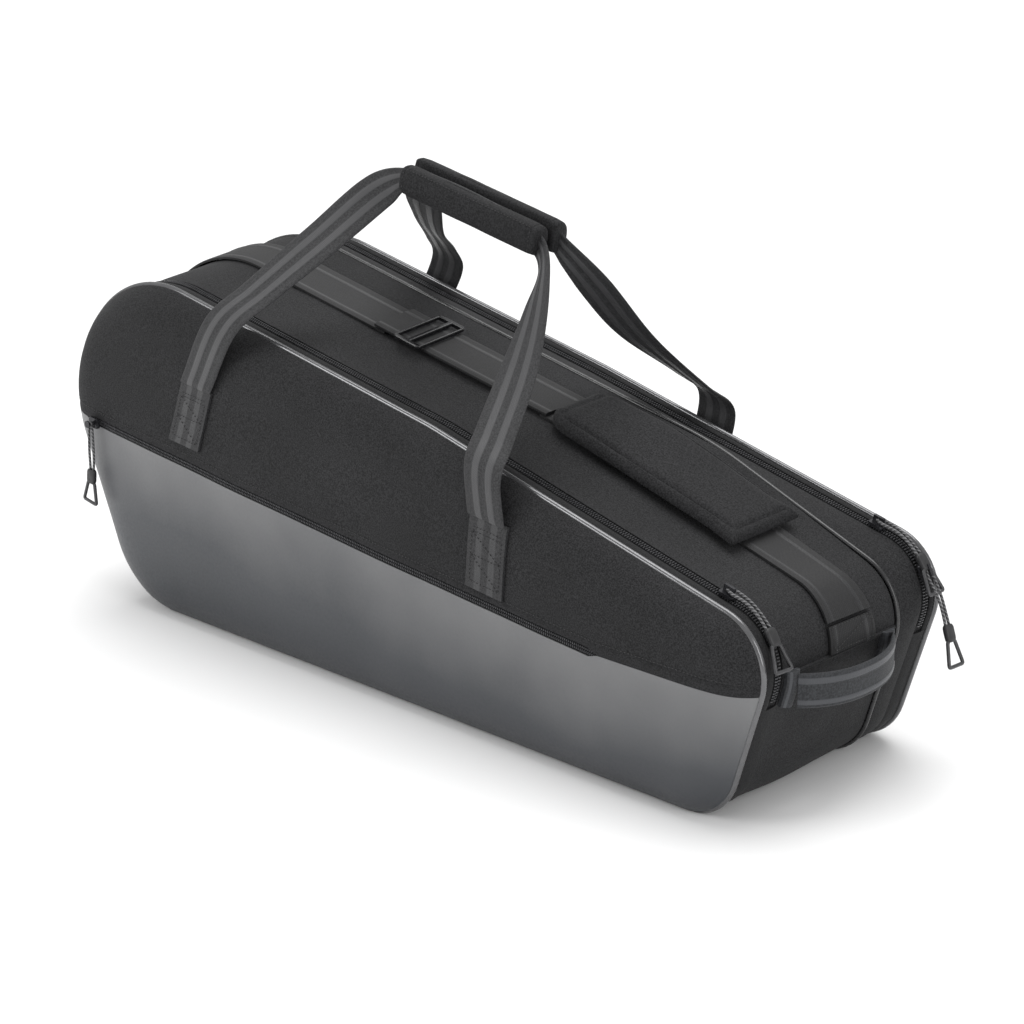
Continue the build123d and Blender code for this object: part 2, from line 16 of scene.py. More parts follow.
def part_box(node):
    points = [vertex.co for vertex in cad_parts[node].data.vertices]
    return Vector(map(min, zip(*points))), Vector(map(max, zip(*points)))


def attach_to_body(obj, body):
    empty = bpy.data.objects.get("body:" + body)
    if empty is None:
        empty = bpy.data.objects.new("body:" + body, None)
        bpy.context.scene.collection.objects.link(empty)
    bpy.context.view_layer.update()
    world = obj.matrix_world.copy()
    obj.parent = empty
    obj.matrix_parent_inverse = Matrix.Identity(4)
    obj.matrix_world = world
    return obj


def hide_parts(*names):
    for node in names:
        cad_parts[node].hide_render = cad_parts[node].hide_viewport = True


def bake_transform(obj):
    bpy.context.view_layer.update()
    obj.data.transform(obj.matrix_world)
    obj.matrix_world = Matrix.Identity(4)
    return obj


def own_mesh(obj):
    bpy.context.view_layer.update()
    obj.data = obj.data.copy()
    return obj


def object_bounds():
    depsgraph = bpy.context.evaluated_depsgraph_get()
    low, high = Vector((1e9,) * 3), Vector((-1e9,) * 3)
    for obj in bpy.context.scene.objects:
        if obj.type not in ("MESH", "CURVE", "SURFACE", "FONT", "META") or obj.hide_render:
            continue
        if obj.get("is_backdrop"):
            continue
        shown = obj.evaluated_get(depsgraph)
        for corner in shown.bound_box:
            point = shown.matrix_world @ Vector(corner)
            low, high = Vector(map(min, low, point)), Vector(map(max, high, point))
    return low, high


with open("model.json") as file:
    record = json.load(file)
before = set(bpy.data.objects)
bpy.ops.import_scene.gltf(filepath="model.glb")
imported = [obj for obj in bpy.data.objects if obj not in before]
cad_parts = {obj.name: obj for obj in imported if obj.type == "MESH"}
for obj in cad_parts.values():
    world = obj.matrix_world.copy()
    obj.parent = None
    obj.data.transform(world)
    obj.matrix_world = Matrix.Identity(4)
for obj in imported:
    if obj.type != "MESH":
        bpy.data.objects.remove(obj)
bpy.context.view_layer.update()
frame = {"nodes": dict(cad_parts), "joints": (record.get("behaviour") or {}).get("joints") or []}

MM = 0.001

# ---------------------------------------------------------------- stations from the frame
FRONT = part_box("front_wall")[1].y               # plane of the front piping
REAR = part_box("rear_wall")[0].y
GUSSET_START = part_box("top_gusset")[0].y
GUSSET_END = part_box("top_gusset")[1].y
REAR_GUSSET_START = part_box("rear_gusset")[0].y
FRONT_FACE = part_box("front_cloth")[0].y         # flat middle of the front panel
REAR_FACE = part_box("rear_cloth")[1].y
STRIP_START, STRIP_END = (corner.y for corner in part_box("front_strip"))
REAR_STRIP_START, REAR_STRIP_END = (corner.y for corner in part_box("rear_strip"))
MAIN_ZIP = (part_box("main_zip_front_half")[1].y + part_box("main_zip_back_half")[0].y) / 2
REAR_ZIP = (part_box("rear_zip_front_half")[1].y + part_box("rear_zip_back_half")[0].y) / 2
PIPINGS = {
    name: sum(corner.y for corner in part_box(name)) / 2
    for name in ("front_piping", "middle_piping", "rear_piping")
}
REAR_GUSSET_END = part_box("rear_zip_front_half")[0].y - 0.4 * MM

# ---------------------------------------------------------------- the side outline
BASE_HEAD, BASE_END = (-0.312, 0.0), (0.353, 0.0)
HEAD_LOW, HEAD_TOP_X = (-0.399, 0.202), -0.300
PROFILES = (                                    # depth, head height, bend, end corner
    (GUSSET_START, 0.301, (0.060, 0.232), (0.396, 0.146)),
    (GUSSET_END, 0.323, (0.225, 0.213), (0.394, 0.142)),
    (REAR_GUSSET_END, 0.315, (0.060, 0.240), (0.400, 0.158)),
)
RADII = (0.045, 0.045, 0.300, 0.125, 0.100, 0.080)
ARC_POINTS = (12, 14, 6, 18, 14, 14)            # along each rounded corner
LINE_POINTS = (10, 38, 40, 6, 20, 76)           # along the straight stretch after each corner
CORNER_STARTS = np.cumsum([0] + [a + l for a, l in zip(ARC_POINTS, LINE_POINTS)])
TOTAL = int(CORNER_STARTS[-1])
POCKET_HEAD, POCKET_END = (-0.346, 0.163), (0.248, 0.1045)
THICKNESS = 3 * MM                              # of the gusset cloth with its padding
GROUND = 0.4 * MM                               # nothing soft goes below this height


def corners_at(depth):
    """The six corners of the side view at one depth, from the base's handle end round to its head end."""
    depths, heads, bends, ends = zip(*PROFILES)
    head = np.interp(depth, depths, heads)
    bend, end = ([np.interp(depth, depths, axis) for axis in zip(*places)] for places in (bends, ends))
    return [np.array(c) for c in (BASE_END, end, bend, (HEAD_TOP_X, head), HEAD_LOW, BASE_HEAD)]


def unit(v):
    return v / np.linalg.norm(v)


_outlines = {}                                  # side views already worked out, by depth


def outline(depth):
    """Points and outward normals of the side view at one depth; an index is the same place at any depth."""
    key = round(depth, 6)
    if key in _outlines:
        return _outlines[key]
    corners = corners_at(depth)
    arcs = []
    for i, corner in enumerate(corners):
        back, ahead = unit(corners[i - 1] - corner), unit(corners[(i + 1) % 6] - corner)
        half = math.acos(float(back @ ahead)) / 2
        centre = corner + unit(back + ahead) * RADII[i] / math.sin(half)
        reach = RADII[i] / math.tan(half)
        first, last = unit(corner + back * reach - centre), unit(corner + ahead * reach - centre)
        start = math.atan2(first[1], first[0])
        turn = (math.atan2(last[1], last[0]) - start + math.pi) % (2 * math.pi) - math.pi
        angles = start + turn * np.linspace(0, 1, ARC_POINTS[i])
        normals = np.stack([np.cos(angles), np.sin(angles)], 1)
        arcs.append((centre + RADII[i] * normals, normals))
    points, normals = [], []
    for i, (arc, arc_normals) in enumerate(arcs):
        points.append(arc)
        normals.append(arc_normals)
        t = np.linspace(0, 1, LINE_POINTS[i] + 2)[1:-1, None]
        points.append(arc[-1] + t * (arcs[(i + 1) % 6][0][0] - arc[-1]))
        normals.append(np.repeat(arc_normals[-1:], LINE_POINTS[i], 0))
    _outlines[key] = np.concatenate(points), np.concatenate(normals)
    return _outlines[key]


def on_outline(depth, t, lift=0.0):
    """Points of the side view at places t (in outline steps), moved outwards by lift, as (x, depth, z)."""
    points, normals = outline(depth)
    t = np.atleast_1d(np.asarray(t, float)) % TOTAL
    low = np.floor(t).astype(int) % TOTAL
    high = (low + 1) % TOTAL
    share = (t - np.floor(t))[:, None]
    flat = points[low] * (1 - share) + points[high] * share
    out = normals[low] * (1 - share) + normals[high] * share
    flat = flat + out * np.reshape(lift, (-1, 1))
    return np.stack([flat[:, 0], np.full(len(t), depth), flat[:, 1]], 1)


def place_at_height(z, side):
    """Where the side view is at this height, on the handle end (side 1) or the head end (side -1)."""
    points = outline(0.0)[0]
    if side > 0:
        steps = np.arange(0, CORNER_STARTS[2])
        return float(np.interp(z, points[steps, 1], steps))
    steps = np.arange(CORNER_STARTS[4] - 4, TOTAL - LINE_POINTS[5])
    return float(np.interp(-z, -points[steps, 1], steps))


def place_at_x(x, depth=0.0):
    """Where the top edge is at this x."""
    steps = np.arange(CORNER_STARTS[1], CORNER_STARTS[4])
    return float(np.interp(-x, -outline(depth)[0][steps, 0], steps))


ZIP_RIGHT, ZIP_LEFT = place_at_height(0.0905, 1), place_at_height(0.0505, -1)      # where both zips end
SEAM_RIGHT, SEAM_LEFT = place_at_height(0.1130, 1), place_at_height(0.1195, -1)    # top gusset's end seams


# ---------------------------------------------------------------- mesh helpers
def place_in_scene(name, data):
    """A new object in the scene."""
    thing = bpy.data.objects.new(name, data)
    bpy.context.scene.collection.objects.link(thing)
    return thing


def build(name, vertices, faces, material, uvs=None, sharp=35):
    """A mesh object with outward normals, smooth shading, one material and that material's slot."""
    mesh = bpy.data.meshes.new(name)
    mesh.from_pydata([tuple(map(float, v)) for v in vertices], [], faces)
    shape = bmesh.new()
    shape.from_mesh(mesh)
    bmesh.ops.recalc_face_normals(shape, faces=shape.faces)
    shape.to_mesh(mesh)
    shape.free()
    if uvs is not None:
        layer = mesh.uv_layers.new(name="UVMap")
        for loop in mesh.loops:
            layer.data[loop.index].uv = uvs[loop.vertex_index]
    mesh.polygons.foreach_set("use_smooth", [True] * len(mesh.polygons))
    mesh.set_sharp_from_angle(angle=math.radians(sharp))
    mesh.materials.append(material)
    piece = place_in_scene(name, mesh)
    return piece


def attach(piece, body, *nodes):
    """Let a piece ride on a body, shown in place of these CAD nodes."""
    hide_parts(*nodes)
    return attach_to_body(piece, body)


def shell(name, outer, inner, material, uv=None, closed=False, sharp=35):
    """A cloth solid from an outer and an inner grid of points; closed joins its first and last rows."""
    rows, columns = outer.shape[:2]
    count = rows * columns
    def at(i, j, side):
        return side * count + (i % rows) * columns + j
    faces = []
    for i in range(rows if closed else rows - 1):
        for j in range(columns - 1):
            for side in (0, 1):
                faces.append((at(i, j, side), at(i + 1, j, side), at(i + 1, j + 1, side), at(i, j + 1, side)))
        for j in (0, columns - 1):
            faces.append((at(i, j, 0), at(i + 1, j, 0), at(i + 1, j, 1), at(i, j, 1)))
    if not closed:
        for i in (0, rows - 1):
            for j in range(columns - 1):
                faces.append((at(i, j, 0), at(i, j + 1, 0), at(i, j + 1, 1), at(i, j, 1)))
    vertices = np.concatenate([outer.reshape(-1, 3), inner.reshape(-1, 3)])
    uvs = None if uv is None else np.tile(uv.reshape(-1, 2), (2, 1))
    return build(name, vertices, faces, material, uvs, sharp)


def ring_faces(rows, sides, closed=False, start=0):
    """Faces between rings of points: the wall, and two end caps unless the last ring meets the first."""
    faces = []
    for i in range(rows if closed else rows - 1):
        near, far = start + i * sides, start + (i + 1) % rows * sides
        for k in range(sides):
            after = (k + 1) % sides
            faces.append((near + k, far + k, far + after, near + after))
    if not closed:
        faces += [tuple(range(start + row * sides, start + (row + 1) * sides)) for row in (0, rows - 1)]
    return faces


def rounded_square(angle, power):
    """A point at this angle on a rounded square of half-width 1; a smaller power makes it squarer."""
    c, s = math.cos(angle), math.sin(angle)
    return math.copysign(abs(c) ** power, c), math.copysign(abs(s) ** power, s)


def tube(path, radius, sides, closed=False):
    """Vertices, faces and uvs of a round cord along a path."""
    path = np.asarray(path, float)
    count = len(path)
    tangents = np.roll(path, -1, 0) - np.roll(path, 1, 0) if closed else np.gradient(path, axis=0)
    tangents /= np.linalg.norm(tangents, axis=1)[:, None]
    side = np.cross(tangents[0], (0.31, 0.17, 0.93))
    vertices, uvs, length = [], [], 0.0
    for i in range(count):
        side = side - tangents[i] * (side @ tangents[i])
        side /= np.linalg.norm(side)
        up = np.cross(tangents[i], side)
        length += np.linalg.norm(path[i] - path[i - 1]) if i else 0.0
        for k in range(sides):
            angle = 2 * math.pi * k / sides
            vertices.append(path[i] + radius * (side * math.cos(angle) + up * math.sin(angle)))
            uvs.append((k / sides, length))
    return vertices, ring_faces(count, sides, closed), uvs


def smooth_path(points, steps):
    """A smooth curve through control points (of any dimension), with steps samples between each two.

    Places along it go by the square root of each gap, so uneven points give no overshoot.
    """
    points = np.asarray(points, float)
    padded = np.concatenate([2 * points[:1] - points[1:2], points, 2 * points[-1:] - points[-2:-1]])
    samples = []
    for i in range(1, len(padded) - 2):
        knots = padded[i - 1:i + 3]
        gaps = np.sqrt(np.linalg.norm(np.diff(knots[:, :3], axis=0), axis=1))
        times = np.concatenate([[0], np.cumsum(gaps)])
        for t in np.linspace(times[1], times[2], steps, endpoint=False):
            level = list(knots)                 # each round blends neighbours over these spans of knots
            for spans in (((0, 1), (1, 2), (2, 3)), ((0, 2), (1, 3)), ((1, 2),)):
                level = [
                    (a * (times[last] - t) + b * (t - times[first])) / (times[last] - times[first])
                    for (first, last), a, b in zip(spans, level[:-1], level[1:])
                ]
            samples.append(level[0])
    samples.append(padded[-2])
    return np.array(samples)


def lengths(path):
    """How far along a path each of its points is."""
    return np.concatenate([[0], np.cumsum(np.linalg.norm(np.diff(path, axis=0), axis=1))])


def resample(path, spacing):
    """The same path with even spacing."""
    path = np.asarray(path, float)
    along = lengths(path[:, :3])
    wanted = np.linspace(0, along[-1], max(2, int(round(along[-1] / spacing)) + 1))
    return np.stack([np.interp(wanted, along, path[:, k]) for k in range(path.shape[1])], 1)


def ripple(points, size, seed):
    """Smooth noise between -1 and 1 at each point, with features of about this size."""
    return np.array([noise.noise(Vector((p[0] / size + seed, p[1] / size, p[2] / size))) for p in points])


STITCH_LENGTH, STITCH_PITCH, STITCH_RADIUS = 2.4 * MM, 3.4 * MM, 0.42 * MM


def stitches(name, lines, body, out):
    """Short threads along lines that lie on a surface; out is the surface's outward direction."""
    vertices, faces = [], []
    out = unit(np.asarray(out, float))
    for line in lines:
        dots = resample(line, STITCH_PITCH)
        for a, b in zip(dots[:-1], dots[1:]):
            along = unit(b - a)
            across = unit(np.cross(along, out))
            middle = (a + b) / 2 + out * STITCH_RADIUS * 0.5
            first = len(vertices)
            vertices += [middle - along * STITCH_LENGTH / 2, middle + along * STITCH_LENGTH / 2]
            vertices += [middle + d * STITCH_RADIUS for d in (across, out, -across, -out)]
            for k in range(4):
                near, far = first + 2 + k, first + 2 + (k + 1) % 4
                faces += [(first, near, far), (first + 1, far, near)]
    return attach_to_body(build(name, vertices, faces, THREAD, sharp=60), body)


# ---------------------------------------------------------------- materials
class Look:
    """A small writer for one procedural material."""

    def __init__(self, name, roughness, **inputs):
        self.material = bpy.data.materials.new(name)
        self.material.use_nodes = True
        self.tree = self.material.node_tree
        self.surface = self.tree.nodes["Principled BSDF"]
        self.surface.inputs["Roughness"].default_value = roughness
        for key, value in inputs.items():
            self.surface.inputs[key.replace("_", " ")].default_value = value
        self.place = self.add("ShaderNodeTexCoord").outputs

    def feed(self, sockets, values):
        for socket, value in zip(sockets, values):
            if hasattr(value, "links"):
                self.tree.links.new(value, socket)
            else:
                socket.default_value = (*value, 1) if isinstance(value, tuple) else value

    def add(self, kind, **values):
        node = self.tree.nodes.new(kind)
        self.feed([node.inputs[key] for key in values], values.values())
        return node

    def noise(self, scale, detail=3.0):
        place = self.place["Object"]
        return self.add("ShaderNodeTexNoise", Vector=place, Scale=scale, Detail=detail).outputs["Fac"]

    def ramp(self, factor, *stops):
        node = self.add("ShaderNodeValToRGB", Fac=factor)
        elements = node.color_ramp.elements
        for index, (position, value) in enumerate(stops):
            element = elements[index] if index < 2 else elements.new(position)
            element.position = position
            element.color = (*value, 1) if isinstance(value, tuple) else (value, value, value, 1)
        return node.outputs["Color"]

    def math(self, operation, a, b=0.0):
        node = self.tree.nodes.new("ShaderNodeMath")
        node.operation = operation
        self.feed(node.inputs, (a, b))
        return node.outputs[0]

    def mix(self, factor, a, b, blend="MIX"):
        node = self.tree.nodes.new("ShaderNodeMix")
        node.data_type, node.blend_type = "RGBA", blend
        self.feed([node.inputs[k] for k in (0, 6, 7)], (factor, a, b))
        return node.outputs[2]

    def paint(self, colour):
        self.tree.links.new(colour, self.surface.inputs["Base Color"])

    def bump(self, height, distance, strength=1.0):
        node = self.add("ShaderNodeBump", Height=height, Distance=distance, Strength=strength)
        self.tree.links.new(node.outputs["Normal"], self.surface.inputs["Normal"])

    def rough(self, value):
        self.tree.links.new(value, self.surface.inputs["Roughness"])


def cloth_look(name, dark, light, grain=950.0, sheen=0.03):
    """Melange polyester: fine light and dark threads, slow cloudy variation and a woven bump."""
    look = Look(name, 0.80, Sheen_Weight=sheen, Sheen_Roughness=0.4, Specular_IOR_Level=0.25)
    speckle = look.ramp(look.noise(grain), (0.36, dark), (0.64, light))
    cloud = look.ramp(look.noise(11.0), (0.3, 0.82), (0.7, 1.15))
    look.paint(look.mix(1.0, speckle, cloud, "MULTIPLY"))
    threads = look.add("ShaderNodeTexVoronoi", Vector=look.place["Object"], Scale=1500.0).outputs["Distance"]
    look.bump(look.math("ADD", threads, look.noise(600.0)), 0.25 * MM, 0.55)
    return look.material


def coated_look():
    """Grey coated cloth, semi-glossy, with a fine grain; painted light makes it paler towards its top, and
    painted shade makes it darker and cooler low down.
    """
    look = Look("coated_cloth", 0.42, Specular_IOR_Level=0.55, Coat_Weight=0.12, Coat_Roughness=0.35)
    split = look.add("ShaderNodeSeparateXYZ", Vector=look.place["Object"])
    # Painted light and shade: the colour follows height, and a little x, so the pocket is painted paler at its
    # top and towards the handle end, and painted darker and bluer low down. A slow noise is laid on top.
    rise = look.math("MULTIPLY", split.outputs["Z"], 5.0)
    drift = look.math("MULTIPLY", split.outputs["X"], 0.35)
    slow = look.math("MULTIPLY", look.noise(6.0), 0.62)
    height = look.math("ADD", look.math("ADD", rise, drift), slow)
    look.paint(look.ramp(height, (0.20, (0.010, 0.013, 0.018)), (0.62, (0.036, 0.039, 0.045)),
                         (1.0, (0.140, 0.141, 0.144))))
    look.rough(look.ramp(look.noise(420.0), (0.3, 0.38), (0.7, 0.52)))
    look.bump(look.noise(1600.0), 0.10 * MM, 0.35)
    return look.material


def webbing_look(name, dark, light, satin_and_painted_sheen, bands):
    """Woven webbing from its UVs: u runs 0 to 1 across it, v is metres along it. Satin bands run along it:
    shinier than the rest, and painted lighter as a painted sheen.
    """
    look = Look(name, 0.60, Sheen_Weight=0.04, Specular_IOR_Level=0.4)
    split = look.add("ShaderNodeSeparateXYZ", Vector=look.place["UV"])
    across, along = split.outputs["X"], split.outputs["Y"]
    rows = look.math("SINE", look.math("MULTIPLY", along, 2 * math.pi / (1.25 * MM)))
    lanes = look.math("SINE", look.math("MULTIPLY", across, 2 * math.pi * 26))
    weave = look.math("MULTIPLY", rows, lanes)
    stops = [(0.0, 0.0)]
    for start, end in bands:
        stops += [(start - 0.01, 0.0), (start + 0.02, 1.0), (end - 0.02, 1.0), (end + 0.01, 0.0)]
    mask = look.ramp(across, *stops)
    plain = look.ramp(look.noise(700.0), (0.35, dark), (0.65, light))
    # Painted sheen: the bands are woven between the plain colour and a lighter painted sheen colour.
    bright = look.mix(look.math("ADD", look.math("MULTIPLY", weave, 0.35), 0.5), light, satin_and_painted_sheen)
    look.paint(look.mix(mask, plain, bright))
    look.rough(look.ramp(mask, (0.0, 0.66), (1.0, 0.40)))
    look.bump(look.math("ADD", weave, look.math("MULTIPLY", lanes, 0.5)), 0.12 * MM, 0.6)
    return look.material


def moulded_look(name, colour, roughness, wear=0.25, metallic=0.0):
    """Moulded plastic or painted metal: faint mottling, fine texture and slightly paler worn places."""
    look = Look(name, roughness, Metallic=metallic, Specular_IOR_Level=0.6)
    worn = tuple(min(1.0, c * (1 + wear) + 0.01) for c in colour)
    look.paint(look.ramp(look.noise(160.0, 4.0), (0.4, colour), (0.75, worn)))
    look.rough(look.ramp(look.noise(300.0), (0.3, roughness * 0.85), (0.7, min(1.0, roughness * 1.25))))
    look.bump(look.noise(2400.0, 2.0), 0.05 * MM, 0.25)
    return look.material


def cord_look():
    """Braided grey cord: pale and dark strands that wind round it."""
    look = Look("cord", 0.6, Sheen_Weight=0.2)
    split = look.add("ShaderNodeSeparateXYZ", Vector=look.place["UV"])
    turns = look.math("MULTIPLY", split.outputs["Y"], 2 * math.pi / (3.4 * MM))
    round_it = look.math("MULTIPLY", split.outputs["X"], 2 * math.pi * 2)
    strands = look.math("SINE", look.math("ADD", turns, round_it))
    look.paint(look.ramp(strands, (0.1, (0.030, 0.030, 0.032)), (0.9, (0.17, 0.17, 0.175))))
    look.bump(strands, 0.25 * MM, 0.8)
    return look.material


CLOTH = cloth_look("charcoal_cloth", (0.005, 0.005, 0.0055), (0.026, 0.026, 0.0275))
STRIP_CLOTH = cloth_look("strip_cloth", (0.005, 0.005, 0.0055), (0.017, 0.017, 0.018))
PADDED = cloth_look("padded_cloth", (0.004, 0.004, 0.0045), (0.023, 0.023, 0.0245), 800.0, 0.03)
LINING = cloth_look("lining", (0.030, 0.030, 0.032), (0.055, 0.055, 0.058), 500.0, 0.1)
TAPE = cloth_look("zip_tape", (0.004, 0.004, 0.0045), (0.012, 0.012, 0.013), 1200.0, 0.02)
THREAD = moulded_look("thread", (0.006, 0.006, 0.0065), 0.5)
COATED = coated_look()
RIBS = ((0.22, 0.40), (0.58, 0.76))             # raised bands, in shares of a webbing's width
GRAB_RIBS = ((0.10, 0.24), (0.70, 0.88))
HANDLE_WEBBING = webbing_look(
    "handle_webbing", (0.010, 0.010, 0.011), (0.032, 0.032, 0.034), (0.070, 0.070, 0.073), RIBS)
# The handle's webbing again, where it lies sewn on the panel, with a dimmer painted sheen on its bands.
PATCH_WEBBING = webbing_look(
    "patch_webbing", (0.010, 0.010, 0.011), (0.030, 0.030, 0.032), (0.036, 0.036, 0.038), RIBS)
GRAB_WEBBING = webbing_look(
    "grab_webbing", (0.008, 0.009, 0.011), (0.028, 0.030, 0.034), (0.062, 0.065, 0.073), GRAB_RIBS)
STRAP_WEBBING = webbing_look(
    "strap_webbing", (0.004, 0.004, 0.0045), (0.011, 0.011, 0.012), (0.018, 0.018, 0.020),
    ((0.10, 0.16), (0.76, 0.84)))
PIPING = moulded_look("piping", (0.120, 0.120, 0.124), 0.16, 0.1, 0.55)
DARK_PIPING = moulded_look("dark_piping", (0.012, 0.012, 0.013), 0.28, 0.1)
TEETH = moulded_look("zip_teeth", (0.040, 0.040, 0.043), 0.20, 0.3, 0.35)
SLIDER_METAL = moulded_look("slider_metal", (0.022, 0.022, 0.025), 0.28, 0.8, 0.6)
CORD = cord_look()
SLEEVE = moulded_look("sleeve", (0.007, 0.007, 0.008), 0.5)
RING = moulded_look("pull_ring", (0.022, 0.022, 0.024), 0.34, 0.5)
BUCKLE = moulded_look("buckle", (0.006, 0.006, 0.007), 0.16, 0.4)


# ---------------------------------------------------------------- front and rear panels
RISE_LENGTH = 13 * MM                           # how quickly a panel swells away from its piping
EDGE_LIP = 0.8 * MM                             # how far its cloth already stands out at the piping
CLOTH_THICKNESS, LINING_THICKNESS = 1.4 * MM, 0.6 * MM
LINING_INSET = 2.2 * MM
MIDDLE_OF = [start + count / 2 for start, count in zip(CORNER_STARTS, ARC_POINTS)]
ALONG, UPWARDS = 190, 44                        # points of a half panel's grid
POCKET_CORNER = 0.166                           # where the pocket's seam meets the head end
POCKET_SAG = 2.2 * MM
SLOW, FINE, PUCKER = (0.16, 1.6 * MM), (0.055, 0.5 * MM), (0.030, 0.8 * MM)    # size and height of the waves
HEM_ENDS, HEM_ABOVE, HEM_GROOVE = (-0.372, 0.376), 9.6 * MM, 0.9 * MM


def edge_distance(points, depth):
    """How far each (x, z) is inside the side view."""
    edge = outline(depth)[0]
    step = np.roll(edge, -1, 0) - edge
    step_length = (step ** 2).sum(1)
    nearest = np.empty(len(points))
    for i, point in enumerate(points):
        gap = point - edge
        share = np.clip((gap * step).sum(1) / step_length, 0, 1)[:, None]
        nearest[i] = ((gap - share * step) ** 2).sum(1).min()
    return np.sqrt(nearest)


def panel_depth(flat, towards):
    """Depth of the front (towards -1) or rear (+1) outer cloth at points (x, z), with its soft unevenness."""
    edge, face = (FRONT, FRONT_FACE) if towards < 0 else (REAR, REAR_FACE)
    inside = edge_distance(flat, edge)
    swell = EDGE_LIP + (abs(face - edge) - EDGE_LIP) * (1 - np.exp(-inside / RISE_LENGTH))
    places = np.stack([flat[:, 0], np.zeros(len(flat)), flat[:, 1]], 1)
    calm = 1 - np.exp(-inside / (35 * MM))
    slow = ripple(places, SLOW[0], 3.0 * towards) * SLOW[1] * calm
    fine = ripple(places, FINE[0], 9.0 + towards) * FINE[1] * calm
    near_piping = np.exp(-inside / (16 * MM)) * np.minimum(1, inside / (6 * MM))
    pucker = ripple(places, PUCKER[0], 21.0) * PUCKER[1] * near_piping
    return edge + towards * (swell + slow + fine + pucker - 0.6 * MM * calm)


def coons(bottom, right, top, left):
    """A grid of (x, z) filling four curves; bottom and top run with +X, left and right run upwards."""
    u = np.linspace(0, 1, len(bottom))[:, None, None]
    v = np.linspace(0, 1, len(left))[None, :, None]
    ruled = (1 - v) * bottom[:, None] + v * top[:, None] + (1 - u) * left[None] + u * right[None]
    low = (1 - u) * bottom[0] + u * bottom[-1]
    high = (1 - u) * top[0] + u * top[-1]
    return ruled - (1 - v) * low - v * high


def stretch(depth, start, end, count):
    """Evenly spaced (x, z) points of the side view from place start to place end."""
    line = on_outline(depth, np.linspace(start, end, 200))[:, [0, 2]]
    along = lengths(line)
    wanted = np.linspace(0, along[-1], count)
    return np.stack([np.interp(wanted, along, line[:, k]) for k in (0, 1)], 1)


def whole_panel(depth, along=150, upwards=60):
    """The (x, z) grid of the whole side view."""
    return coons(stretch(depth, MIDDLE_OF[5], TOTAL + MIDDLE_OF[0], along),
                 stretch(depth, MIDDLE_OF[0], MIDDLE_OF[1], upwards),
                 stretch(depth, MIDDLE_OF[3], MIDDLE_OF[1], along),
                 stretch(depth, MIDDLE_OF[5], MIDDLE_OF[3], upwards))


def pocket_line(x):
    """Height of the pocket's top edge: along its zip, then level to the handle end."""
    share = (x - POCKET_HEAD[0]) / (POCKET_END[0] - POCKET_HEAD[0])
    line = POCKET_HEAD[1] + (POCKET_END[1] - POCKET_HEAD[1]) * share
    sag = POCKET_SAG * np.sin(math.pi * np.clip(share, 0, 1))
    return np.where(x < POCKET_END[0], line - sag, POCKET_END[1])


def zip_gap(x):
    """Half of the opening that shows the pocket zip: wide along the zip, closed beyond its ends."""
    margin, taper, closed, opened = 3 * MM, 8 * MM, 0.15 * MM, 3.2 * MM
    inner = np.clip((x - POCKET_HEAD[0] + margin) / taper, 0, 1)
    outer = np.clip((POCKET_END[0] + margin - x) / taper, 0, 1)
    return closed + opened * inner * outer


def outline_place(z, side, depth):
    """Exact place on this depth's side view at a height near the pocket's top edge."""
    guess = place_at_height(z, side)
    near = np.linspace(guess - 4, guess + 4, 200)
    return float(near[np.abs(on_outline(depth, near)[:, 2] - z).argmin()])


def half_panel(depth, upper):
    """The (x, z) grid of the front's upper cloth or of its pocket."""
    ends = [outline_place(z, side, depth) for z, side in ((POCKET_CORNER, -1), (POCKET_END[1], 1))]
    x = np.linspace(*on_outline(depth, ends)[:, 0], ALONG)
    seam = np.stack([x, pocket_line(x) + (1 if upper else -1) * zip_gap(x)], 1)
    left, right = outline_place(seam[0, 1], -1, depth), outline_place(seam[-1, 1], 1, depth)
    seam[[0, -1]] = on_outline(depth, [left, right])[:, [0, 2]]
    if upper:
        return coons(seam, stretch(depth, right, MIDDLE_OF[1], UPWARDS),
                     stretch(depth, MIDDLE_OF[3], MIDDLE_OF[1], ALONG),
                     stretch(depth, left, MIDDLE_OF[3], UPWARDS))
    return coons(stretch(depth, MIDDLE_OF[5], TOTAL + MIDDLE_OF[0], ALONG),
                 stretch(depth, MIDDLE_OF[0], right, UPWARDS), seam,
                 stretch(depth, MIDDLE_OF[5], left, UPWARDS))


def hem_groove(points):
    """The shallow groove that the stitched hem above the pocket zip presses into the cloth."""
    distance = points[:, 1] - pocket_line(points[:, 0]) - 8 * MM
    return HEM_GROOVE * np.exp(-(distance / HEM_GROOVE) ** 2)


def panel(name, flat, towards, material, node, thickness=CLOTH_THICKNESS, inset=0.0, groove=None):
    """One cloth layer of the front or rear cover over a grid of (x, z)."""
    points = flat.reshape(-1, 2)
    depth = panel_depth(points, towards) - towards * inset
    if groove:
        depth = depth - towards * groove(points)
    height = np.maximum(points[:, 1], GROUND)
    outer = np.stack([points[:, 0], depth, height], 1).reshape(*flat.shape[:2], 3)
    inner = outer - (0, towards * thickness, 0)
    attach(shell(name, outer, inner, material), "front_cover" if towards < 0 else "rear_cover", node)


panel("front_upper_panel", half_panel(FRONT, True), -1, CLOTH, "front_cloth", groove=hem_groove)
panel("front_pocket_panel", half_panel(FRONT, False), -1, COATED, "pocket_front")
panel("front_lining", whole_panel(FRONT), -1, LINING, "front_wall", LINING_THICKNESS, LINING_INSET)
panel("rear_panel", whole_panel(REAR), 1, CLOTH, "rear_cloth")
panel("rear_lining", whole_panel(REAR), 1, LINING, "rear_wall", LINING_THICKNESS, LINING_INSET)


def on_front(x, z, lift=0.0):
    """A line of points on the front panel, lifted off it."""
    return np.stack([x, panel_depth(np.stack([x, z], 1), -1) - lift, z], 1)


